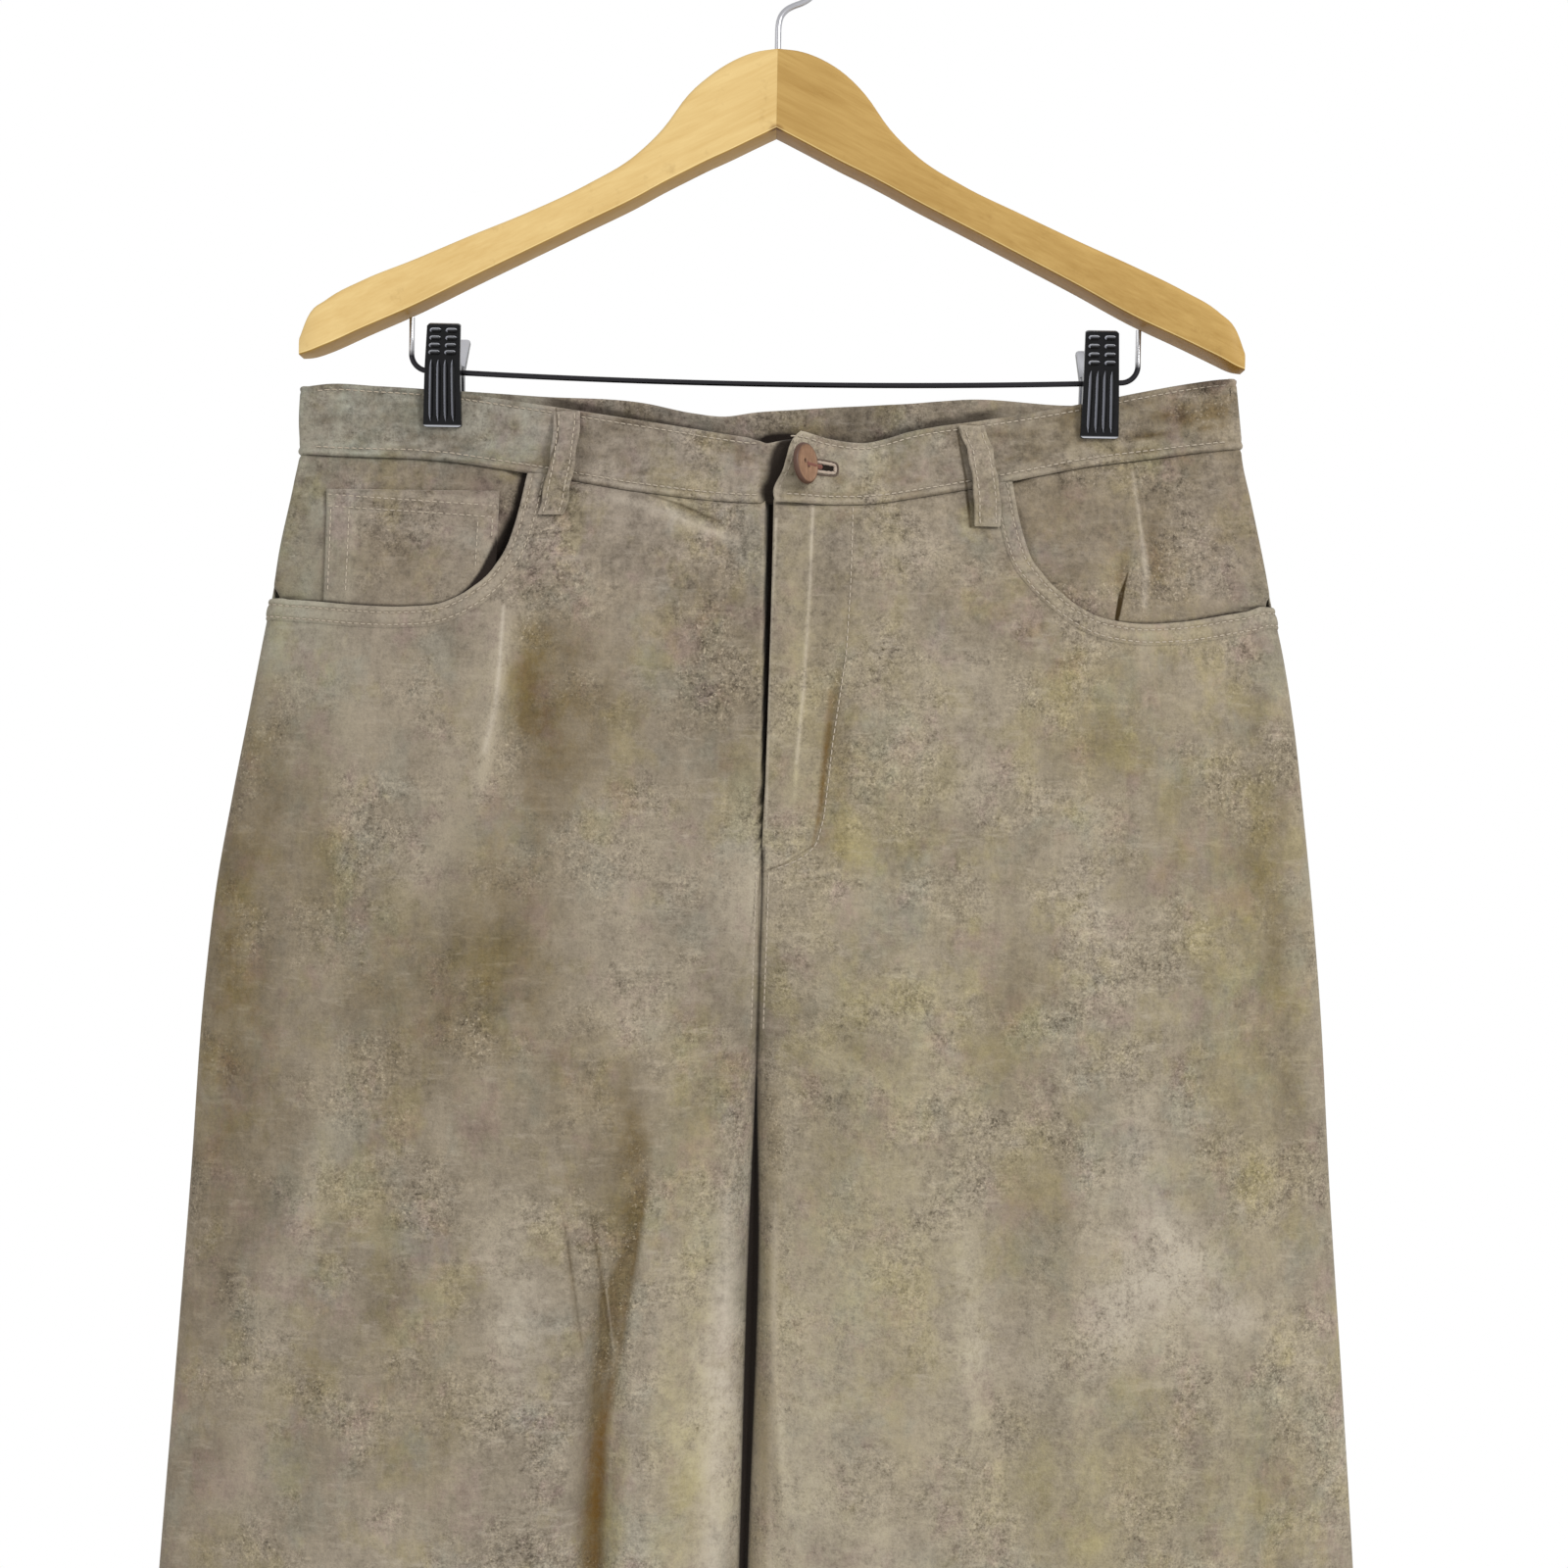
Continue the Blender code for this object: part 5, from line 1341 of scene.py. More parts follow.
def pocket_lip(half, finish):
    """The turned edge of a pocket mouth: a closed profile carried along the mouth's path.

    Its face rolls over the edge, runs 9 mm down the panel with two stitched grooves, and comes
    back under itself.
    """
    path = pocket_path(half, 150)
    tangent = unit(np.gradient(path, axis=0))
    profile = np.array([
        (2.0, -1.9), (0.2, -1.7), (-0.7, -1.1), (-1.0, -0.2), (-0.7, 0.7), (0.1, 1.2), (1.0, 1.25),
        (1.6, 0.95), (2.1, 0.7), (2.6, 0.95), (3.6, 1.2), (5.0, 1.25), (6.4, 1.15), (7.2, 0.9),
        (7.7, 0.65), (8.2, 0.85), (8.8, 0.6), (9.3, 0.1), (9.5, -0.6), (6.0, -0.9),
    ])
    across, rise = profile[:, 0], profile[:, 1]
    wave = 0.3 * ripple(np.arange(150) * 1.6, 0 * path[:, 0], 9.0, 8)[:, None]
    run = np.maximum(path[:, :1] + tangent[:, 1:] * (across + wave * (across > 5.0)), 0.0)
    z = path[:, 1:] - np.abs(tangent[:, :1]) * across
    fade_end = smooth(np.minimum(np.arange(150), 149 - np.arange(150)) / 3.0)[:, None]
    out = np.where(rise > 0.0, rise * (0.4 + 0.6 * fade_end), rise)
    outer, _, paint = hide(half, FRONT, run, z, out, out)
    groove = sum(np.exp(-((across - line) / 0.6) ** 2) for line in LIP_STITCHES)
    paint[..., 0] += 0.3 + 0.3 * np.exp(-((across - 0.2) / 1.5) ** 2) - 0.25 * groove
    # Painted shade: darker in the stitched grooves, and half black on the profile's part behind the edge
    paint[..., 2] += 0.2 * groove
    paint[..., 3] += np.where(across < -0.2, 0.5, 0.0) * (rise < -1.0)
    points, faces = loft(outer)
    put("suede_pocket_lip_" + HALF_NAME[half], points, faces, finish, "suede",
        paint=paint.reshape(-1, 4))


def loft_volume(rings):
    """Six times the signed volume of a loft of closed rings: above 0 where its quads face out."""
    count = rings.shape[1]
    centre = rings.reshape(-1, 3).mean(axis=0)
    quads = ring_quads(count, rings.shape[0])
    points = rings.reshape(-1, 3) - centre
    a, b, c, d = (points[quads[:, i]] for i in range(4))
    return np.sum(np.cross(b - a, c - a) * a) + np.sum(np.cross(c - a, d - a) * a)


def loft(rings):
    """Points and faces of a closed loft through rings, capped at both ends and facing out."""
    rows, count = rings.shape[:2]
    faces = ring_quads(count, rows)
    first = list(range(count))
    last = list(range((rows - 1) * count, rows * count))
    if loft_volume(rings) < 0:
        faces = faces[:, ::-1]
        ends = [first, last[::-1]]
    else:
        ends = [first[::-1], last]
    return rings.reshape(-1, 3), faces.tolist() + ends


def circles(sides, first, second):
    """Circles of radius 1: cos of the angle times one unit vector plus sin times the other."""
    angle = np.arange(sides) / sides * 2 * math.pi
    return np.cos(angle)[None, :, None] * first[:, None] + np.sin(angle)[None, :, None] * second[:, None]


def tube_rings(path, radius, sides, normal=None):
    """Rings of a tube: circles of the given radii square to a path's direction."""
    tangent = unit(np.gradient(path, axis=0))
    steady = np.array([0.0, 1.0, 0.0]) if normal is None else normal
    first = unit(steady - tangent * np.sum(tangent * steady, axis=1, keepdims=True))
    radius = np.broadcast_to(radius, (len(path),))[:, None, None]
    return path[:, None] + radius * circles(sides, first, np.cross(tangent, first))


def joined(parts):
    """Several meshes' points and faces as one."""
    points = []
    faces = []
    start = 0
    for part_points, part_faces in parts:
        points.append(part_points)
        faces += [[index + start for index in face] for face in part_faces]
        start += len(part_points)
    return np.concatenate(points), faces


# Rows of stitches, filled in by stitch_row
STITCHES = {FRONT: [], BACK: []}
STITCH_PITCH = 3.3
STITCH_LENGTH = 2.5
STITCH_RADIUS = 0.3


def stitch_row(half, side, run, z, out, reach=SKIN_REACH):
    """Lay stitches along a path of runs and heights, at one pitch, on the face that far out."""
    outer = on_skin(half, side, run, z, out, reach)[0][0]
    length = lengths_along(outer)
    middles = np.arange(STITCH_PITCH / 2, length[-1] - STITCH_PITCH / 2, STITCH_PITCH)

    def at(place):
        return np.stack([np.interp(place, length, outer[:, i]) for i in range(3)], axis=1)

    STITCHES[side].append((at(middles - STITCH_LENGTH / 2), at(middles + STITCH_LENGTH / 2)))


def sew(side, finish):
    """Every stitch of one side: a short arched thread whose ends dip into the cloth."""
    start, end = (np.concatenate(ends) for ends in zip(*STITCHES[side]))
    outward = np.array([0.0, side, 0.0])
    share = np.array([0.0, 0.12, 0.5, 0.88, 1.0])
    dip = np.array([-0.3, 0.12, 0.22, 0.12, -0.3])
    size = np.array([0.5, 1.0, 1.1, 1.0, 0.5]) * STITCH_RADIUS
    path = start[:, None] + (end - start)[:, None] * share[None, :, None]
    path = path + dip[None, :, None] * outward
    tangent = unit(end - start)
    across = unit(np.cross(tangent, outward))
    sides = 5
    ring = circles(sides, across, np.cross(across, tangent))
    rings = path[:, :, None] + size[None, :, None, None] * ring[:, None]
    if loft_volume(rings[0]) < 0:
        rings = rings[:, :, ::-1]
    count = len(share) * sides
    one = ring_quads(sides, len(share))
    quads = (one[None] + (np.arange(len(rings)) * count)[:, None, None]).reshape(-1, 4)
    first = np.arange(sides)[::-1][None] + (np.arange(len(rings)) * count)[:, None]
    last = (np.arange(sides) + count - sides)[None] + (np.arange(len(rings)) * count)[:, None]
    faces = quads.tolist() + first.tolist() + last.tolist()
    put("stitches_" + SIDE_NAME[side], rings.reshape(-1, 3), faces, finish, "suede")


def stitch_seams():
    """The rows of stitches: waistband, pockets, centre seams, hems, fly, belt loops and tab."""
    for half in (LEFT, RIGHT):
        inner_x = -3.0 if half == LEFT else 6.0
        for side in (FRONT, BACK):
            end_x = inner_x if side == FRONT else half * 0.4
            x = np.linspace(half * 213.0, end_x, 130)
            lift = curl(x) if half == RIGHT and side == FRONT else 0.0 * x
            for line, up in (("_seam", 3.0), ("_top", -2.9)):
                z = waist(SIDE_NAME[side] + line, x) + up
                stitch_row(half, side, run_at(half, x, z), z, BAND_RISE + 0.05 + lift)
        path = pocket_path(half, 150)
        tangent = unit(np.gradient(path, axis=0))
        for across in LIP_STITCHES:
            run = path[:, 0] + tangent[:, 1] * across
            z = path[:, 1] - np.abs(tangent[:, 0]) * across
            keep = run > 3.0
            stitch_row(half, FRONT, run[keep], z[keep], 0.75)
        for side, top_z, count, out in ((FRONT, FLY_BOTTOM - 6.0, 60, 0.3), (BACK, -264.0, 150, 0.35)):
            z = np.linspace(top_z, -520.0, count)
            x = inner_edge(half, z) + half * 3.0
            stitch_row(half, side, run_at(half, x, z), z, out)
        level = HEM_Z + HEM_TALL - 3.0
        run = np.linspace(12.0, float(run_length(half, level)) - 12.0, 160)
        for side in (FRONT, BACK):
            stitch_row(half, side, run, 0.0 * run + level, 0.3, 0.0)
    t = np.linspace(0.0, 1.0, 70)
    fly = np.array([(38.5, -277.0), (38.0, -310.0), (36.5, -345.0), (31.0, -385.0), (27.5, -420.0),
                    (24.5, -432.0), (19.0, -438.0), (12.0, -441.5), (3.5, -444.5)])
    fly = even_path(fly, 90)
    stitch_row(RIGHT, FRONT, run_at(RIGHT, fly[:, 0], fly[:, 1]), fly[:, 1], 0.15)
    top_z = COIN_TOP - COIN_SLOPE * t
    x = COIN_LEFT + (COIN_RIGHT - COIN_LEFT) * t
    for below in (2.2, 7.6):
        z = top_z - below
        stitch_row(LEFT, FRONT, run_at(LEFT, x, z), z, -LAYER + 0.95)
    for x_line, drop, end in ((COIN_LEFT + 2.0, 2.0, -322.0), (COIN_LEFT + 10.6, 9.0, -322.0),
                              (COIN_RIGHT - 2.0, 6.0, -295.0), (COIN_RIGHT - 8.8, 14.0, -309.0)):
        z = np.linspace(COIN_TOP - drop, end, 40)
        stitch_row(LEFT, FRONT, run_at(LEFT, x_line + 0.0 * z, z), z, -LAYER + 0.8)
    for _, side, *ends in LOOPS:
        half = LEFT if ends[0] < 0 else RIGHT
        middle_x, z, stand = loop_line(t, *ends)
        for across in (-3.8, 3.8):
            out = LOOP_BASE + LOOP_WALL + stand - 0.15
            stitch_row(half, side, run_at(half, middle_x + across, z), z, out)
    z = np.linspace(-271.0, -244.0, 40)
    rise = (z - TAB_FOOT_Z) / BAND_TALL
    x = read(TAB, TAB_COLUMNS, "x", rise) + 2.9
    stitch_row(RIGHT, FRONT, run_at(RIGHT, x, z), z, BAND_RISE + curl(x) + 0.02)


def button_and_hole(finishes):
    """The button: a dished disc with two holes, its shank, and the buttonhole beside it."""
    low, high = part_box("button")
    centre = np.array((low + high) / 2) / MM
    turned = np.array(Euler((math.pi / 2, BUTTON_LEAN, BUTTON_TURN), "XZY").to_matrix())
    sides = 72
    near_rim = BUTTON_RADIUS - np.array([1.1, 0.7, 0.4, 0.15, 0.0])
    radii = np.concatenate([[0.02], np.linspace(0.4, 8.0, 26), near_rim])
    angle = np.arange(sides) / sides * 2 * math.pi
    x = radii[:, None] * np.cos(angle)
    y = radii[:, None] * np.sin(angle)
    rim = 0.45 * np.exp(-((radii[:, None] - 8.3) / 0.8) ** 2)
    edge = np.sqrt(np.clip(1.0 - np.clip((radii[:, None] - 8.6) / 0.9, 0, 1) ** 2, 0.0, 1.0)) * 0.9 - 0.9
    height = BUTTON_THICK / 2 - 0.35 + rim + edge + 0.0 * x
    holes = np.zeros(x.shape)
    for hole_x, hole_y in ((-1.3, 1.0), (1.3, -1.0)):
        holes = np.maximum(holes, np.exp(-(np.hypot(x - hole_x, y - hole_y) / 0.95) ** 6))
    face = np.stack([x, y, height - 1.5 * holes], axis=-1)
    back_radii = np.array([BUTTON_RADIUS, 9.2, 8.6, 7.0, 0.02])
    back_height = np.array([-0.6, -1.0, -1.25, -1.3, -1.3])
    rear = np.stack([back_radii[:, None] * np.cos(angle), back_radii[:, None] * np.sin(angle),
                     back_height[:, None] + 0.0 * angle], axis=-1)
    rings = np.concatenate([face, rear])
    paint = np.zeros(rings.shape[:2] + (4,))
    # Painted shade: the holes' share, and the rim's share towards the edge and round the back
    paint[:len(face), :, 0] = holes
    paint[:, :, 1] = np.concatenate([smooth((radii - 8.1) / 0.6), [1, 1, 1, 0.6, 0.4]])[:, None]
    points, faces = loft(rings)
    put("button_disc", points @ turned.T + centre, faces, finishes["button"], "button", ["button"],
        paint.reshape(-1, 4), 40.0)
    shank = np.linspace(0.0, 1.0, 6)[:, None]
    foot_x, foot_z = np.array([23.0]), np.array([HOLE_Z])
    foot = on_skin(RIGHT, FRONT, run_at(RIGHT, foot_x, foot_z), foot_z, BAND_RISE + curl(foot_x))[0][0, 0]
    path = foot + (centre - foot) * shank
    thick = 1.3 - 0.3 * np.sin(shank[:, 0] * math.pi)
    points, faces = loft(tube_rings(path, thick, 12, np.array([0, 0, 1.0])))
    put("button_shank", points, faces, finishes["thread_red"], "button")
    parts = []
    for away, radius, raised in ((0.0, 0.8, 0.25), (1.35, 0.45, 0.0)):
        angle = np.linspace(0.0, 2 * math.pi, 61)[:-1]
        straight = 5.4
        x = HOLE_X + straight * np.clip(np.cos(angle) * 1.6, -1, 1) + (1.9 + away) * np.cos(angle)
        swing = np.sign(np.sin(angle)) * np.abs(np.sin(angle)) ** 0.65
        z = HOLE_Z + (2.2 + away) * swing - HOLE_SLOPE * (x - HOLE_X)
        out = BAND_RISE + curl(x) + raised
        ring = on_skin(RIGHT, FRONT, run_at(RIGHT, x, z), z, out)[0][0]
        wrapped = np.concatenate([ring[-1:], ring, ring[:1]])
        rings = tube_rings(wrapped, radius, 8)[1:-1]
        rope = 1.0 + 0.16 * np.sin(np.arange(len(ring)) * 2.6)[:, None, None]
        rings = ring[:, None] + (rings - ring[:, None]) * rope
        quads = ring_quads(8, len(ring) + 1) % (8 * len(ring))
        if loft_volume(np.concatenate([rings, rings[:1]])) < 0:
            quads = quads[:, ::-1]
        parts.append((rings.reshape(-1, 3), quads.tolist()))
    put("buttonhole_edge", *parts[0], finishes["thread_light"], "suede")
    put("buttonhole_stitches", *parts[1], finishes["thread_dark"], "suede")
    x = HOLE_X + np.linspace(-6.6, 6.6, 24)[None, :] + 0.0 * np.linspace(0, 1, 7)[:, None]
    tall = 1.9 * np.sqrt(np.clip(1.0 - ((x - HOLE_X) / 7.0) ** 4, 0.02, 1.0))
    z = HOLE_Z - HOLE_SLOPE * (x - HOLE_X) + tall * np.linspace(-1.0, 1.0, 7)[:, None]
    out = BAND_RISE + curl(x) + 0.12
    outer, inner, paint = hide(RIGHT, FRONT, run_at(RIGHT, x, z), z, out, out - 0.5, SKIN_REACH)
    # Painted shade: a black sheet in the slit's opening
    paint[..., 3] = 1.3
    shell("buttonhole_slit_shade", outer, inner, paint, finishes["suede"], worn=0.0)


def arm_section(x, half):
    """Rounded section of a wooden arm at x: a box with an arc at each corner."""
    top = float(read(ARM, ARM_COLUMNS, HALF_NAME[half] + "_top", x))
    bottom = float(read(ARM, ARM_COLUMNS, HALF_NAME[half] + "_bottom", x))
    tip = max((x - ARM_TIP) / (ARM_HALF - ARM_TIP), 0.0)
    half_thick = ARM_THICK / 2 * math.sqrt(1.0 - 0.6 * tip ** 2)
    tall = top - bottom
    y_mid = -ARM_SWEEP * (x / ARM_HALF) ** 1.6
    section = []
    corners = ((-1, 1, 3.6), (-1, -1, 1.1), (1, -1, 1.6), (1, 1, 3.6))
    for sign_y, sign_z, radius in corners:
        radius = min(radius, tall * 0.35)
        centre_y = y_mid + sign_y * (half_thick - radius)
        centre_z = (top if sign_z > 0 else bottom) - sign_z * radius
        start = {(-1, 1): 90, (-1, -1): 180, (1, -1): 270, (1, 1): 0}[(sign_y, sign_z)]
        for step in range(6):
            angle = math.radians(start + step * 18)
            across, up = radius * math.cos(angle), radius * math.sin(angle)
            section.append((half * x, centre_y + across, centre_z + up))
    return section


def hanger(finishes):
    """The wooden arms, the hook, the rod and the clips."""
    tip = ARM_TIP + (ARM_HALF - ARM_TIP) * np.sin(np.linspace(0.15, 1.5708, 12))
    stations = np.concatenate([np.linspace(0.01, ARM_TIP, 70), tip])
    for half, name in HALF_NAME.items():
        points, faces = loft(np.array([arm_section(x, half) for x in stations]))
        put("wood_hanger_arm_" + name, points, faces, finishes["wood_" + name], "wood",
            ["hanger_arm_" + name], crisp=42.0)
    radius = HOOK_INNER + HOOK_WIRE
    angle = np.radians(np.linspace(-42.0, 196.0, 80))
    bowl = np.stack([radius * np.cos(angle), -HOOK_INNER + radius * np.sin(angle)], axis=1)
    flat = even_path(np.concatenate([np.array(HOOK_NECK), bowl]), 120)
    for _ in range(3):
        flat[1:-1] = (flat[:-2] + 2 * flat[1:-1] + flat[2:]) / 4
    path = np.stack([flat[:, 0], 0 * flat[:, 0], flat[:, 1]], axis=1)
    ends = np.minimum(np.arange(120), 119 - np.arange(120))
    thick = HOOK_WIRE * np.sqrt(1.0 - 0.5 * np.clip(1.0 - ends / 2.0, 0.0, 1.0) ** 2)
    put("steel_hook", *loft(tube_rings(path, thick, 20)), finishes["steel"], "steel", ["hanger_hook"])
    left_end, right_end = ROD_ENDS
    left_bend, right_bend = left_end + ROD_CORNER, right_end - ROD_CORNER
    angle = np.radians(np.linspace(180.0, 270.0, 14))
    round_x, round_z = ROD_CORNER * np.cos(angle), ROD_Z + ROD_CORNER * (1.0 + np.sin(angle))
    share = np.linspace(-1.0, 1.0, 60)[1:-1]
    middle_x = (left_bend + right_bend) / 2 + share * (right_bend - left_bend) / 2
    flat = np.concatenate([
        [(left_end, ROD_TOP), (left_end, ROD_TOP - 10.0)],
        np.stack([left_bend + round_x, round_z], axis=1),
        np.stack([middle_x, ROD_Z - ROD_SAG * (1 - share ** 2)], axis=1),
        np.stack([right_bend - round_x, round_z], axis=1)[::-1],
        [(right_end, ROD_TOP - 10.0), (right_end, ROD_TOP)],
    ])
    path = np.stack([flat[:, 0], HANG_Y + 0 * flat[:, 0], flat[:, 1]], axis=1)
    put("steel_rod", *loft(tube_rings(path, ROD_WIRE, 16)), finishes["dark_steel"], "steel", ["hanger_rod"])
    for row in CLIPS:
        clip(*row, finishes["clip"])


def clip_face(z):
    """Distance of a clip's outer face from the middle of the cloth, at z."""
    out, height = zip(*CLIP_HALF[1:5])
    return np.interp(z, height, out)


def clip(node, half, side, lean, drop, finish):
    """One half of a clip: a bent plate with rounded edges, four ribs and eight grip bars."""
    def placed(x, out, z):
        lever = smooth((z - LEVER_FOOT) / LEVER_TALL)
        x, out, z, lever = np.broadcast_arrays(x, out, z, lever)
        return np.stack([half * (CLIP_X - lean * lever) + x, HANG_Y + side * out, z - drop * lever], axis=-1)

    parts = []
    profile = np.array(CLIP_HALF)
    share = (CLIP_TOP_Z - profile[:, 1]) / CLIP_TALL
    width = CLIP_TOP_WIDTH + (CLIP_BOTTOM_WIDTH - CLIP_TOP_WIDTH) * share
    insets = ((-0.5, 0.8), (-0.46, 0.25), (-0.41, 0.0), (0.41, 0.0), (0.46, 0.25), (0.5, 0.8))
    pull = unit(profile - profile.mean(axis=0))
    rings = []
    for edge, inset in insets:
        drawn = profile - pull * inset
        rings.append(placed(edge * width, drawn[:, 0], drawn[:, 1]))
    parts.append(loft(np.array(rings)))
    for column in range(4):
        z = np.linspace(*RIB_ENDS, 22)
        t = np.linspace(-1.0, 1.0, 22)
        x = (column - 1.5) * (3.25 + 0.35 * (-z - 210.0) / 30.0)
        path = placed(x, clip_face(z) + 0.1, z)
        parts.append(loft(tube_rings(path, 1.0 * (1.0 - np.abs(t) ** 9 * 0.85), 10)))
    for row_z in BAR_ROWS:
        for sign in (-1.0, 1.0):
            t = np.linspace(-1.0, 1.0, 14)
            path = placed(sign * 3.7 + 2.75 * t, clip_face(row_z) + 0.25, row_z)
            parts.append(loft(tube_rings(path, 1.15 * (1.0 - np.abs(t) ** 7 * 0.8), 10)))
    points, faces = joined(parts)
    put("plastic_" + node, points, faces, finish, "clip_plastic", [node], crisp=34.0)


class Value:
    """One output of a node. Arithmetic on it adds Math nodes, so that a formula reads as one."""

    def __init__(self, finish, socket):
        self.finish = finish
        self.socket = socket

    def math(self, operation, first, second=0.0, clamp=False):
        settings = {"operation": operation, "use_clamp": clamp}
        return self.finish.node("ShaderNodeMath", settings, {0: first, 1: second})

    def __add__(self, other):
        return self.math("ADD", self, other)

    __radd__ = __add__

    def __sub__(self, other):
        return self.math("SUBTRACT", self, other)

    def __rsub__(self, other):
        return self.math("SUBTRACT", other, self)

    def __mul__(self, other):
        return self.math("MULTIPLY", self, other)

    __rmul__ = __mul__

    def times_plus(self, factor, more, clamp=False):
        """This value times a factor, plus more, in one node."""
        settings = {"operation": "MULTIPLY_ADD", "use_clamp": clamp}
        return self.finish.node("ShaderNodeMath", settings, {0: self, 1: factor, 2: more})

    def clamped(self):
        return self.math("ADD", self, 0.0, True)


class Finish:
    """A material being made, with its constants set on the shader's own sockets."""

    def __init__(self, name, **constants):
        self.material = bpy.data.materials.new(name)
        self.material.use_nodes = True
        self.tree = self.material.node_tree
        self.shader = self.tree.nodes["Principled BSDF"]
        for socket, value in constants.items():
            self.shader.inputs[socket.replace("_", " ")].default_value = value

    def node(self, kind, settings, inputs, output=0):
        """Add a node with its settings first, then the values or links of its sockets."""
        made = self.tree.nodes.new(kind)
        for name, value in settings.items():
            setattr(made, name, value)
        for key, value in inputs.items():
            if isinstance(value, Value):
                self.tree.links.new(value.socket, made.inputs[key])
            else:
                made.inputs[key].default_value = value
        return Value(self, made.outputs[output])

    def place(self):
        return self.node("ShaderNodeTexCoord", {}, {}, "Object")

    def parts(self, whole, kind="ShaderNodeSeparateXYZ"):
        """The three coordinates of a place, or with its own kind of node a colour's parts."""
        split = self.node(kind, {}, {0: whole}).socket.node
        return [Value(self, output) for output in split.outputs]

    def facing(self):
        """The three parts of the direction that the surface faces."""
        return self.parts(self.node("ShaderNodeTexCoord", {}, {}, "Normal"))

    def painted(self):
        """The shares in a piece's paint, without the fourth."""
        paint = self.node("ShaderNodeAttribute", {"attribute_name": "paint"}, {}, "Color")
        return self.parts(paint, "ShaderNodeSeparateColor")

    def vector(self, operation, first, second, output="Vector"):
        return self.node("ShaderNodeVectorMath", {"operation": operation}, {0: first, 1: second}, output)

    def stretched(self, place, scale):
        """Object coordinates scaled by three numbers."""
        return self.vector("MULTIPLY", place, scale)

    def noise(self, place, scale, detail=3.0, rough=0.55):
        inputs = {"Vector": place, "Scale": scale, "Detail": detail, "Roughness": rough}
        return self.node("ShaderNodeTexNoise", {}, inputs)

    def mix(self, factor, first, second, blend="MIX"):
        settings = {"data_type": "RGBA", "blend_type": blend, "clamp_factor": True}
        return self.node("ShaderNodeMix", settings, {0: factor, 6: first, 7: second}, 2)

    def bump(self, height, strength, distance):
        inputs = {"Height": height, "Strength": strength, "Distance": distance}
        return self.node("ShaderNodeBump", {}, inputs)

    def wear(self, **links):
        """Link what varies into the shader, and give the material."""
        for socket, value in links.items():
            self.tree.links.new(value.socket, self.shader.inputs[socket.replace("_", " ")])
        return self.material


def rgb(red, green, blue):
    """A colour given as 0 to 255 on a screen, in the linear values that a shader takes."""
    def linear(value):
        value = value / 255.0
        return value / 12.92 if value <= 0.04045 else ((value + 0.055) / 1.055) ** 2.4
    return (linear(red), linear(green), linear(blue), 1.0)


def drawn_lines(finish, flat, lines):
    """Share of fine lines at each place: 1 where the distance from one is under its half width.

    The distance is |p - a - t d|, with t held to 0 to 1, and a line fades over its softness.
    """
    drawn = 0.0
    for x1, z1, x2, z2, wide1, wide2, soft, strength in lines:
        start = Vector((x1, 0.0, z1)) * MM
        reach = Vector((x2 - x1, 0.0, z2 - z1)) * MM
        off = finish.vector("SUBTRACT", flat, start)
        t = finish.vector("DOT_PRODUCT", off, reach / reach.length_squared, "Value").clamped()
        nearest = finish.node("ShaderNodeVectorMath", {"operation": "SCALE"}, {0: reach, "Scale": t})
        away = finish.vector("DISTANCE", off, nearest, "Value")
        edge = away.times_plus(-1.0 / (MM * soft), wide1 / soft + 0.5)
        share = t.times_plus((wide2 - wide1) / soft, edge, True) * strength
        drawn = share.math("MAXIMUM", share, drawn)
    return drawn


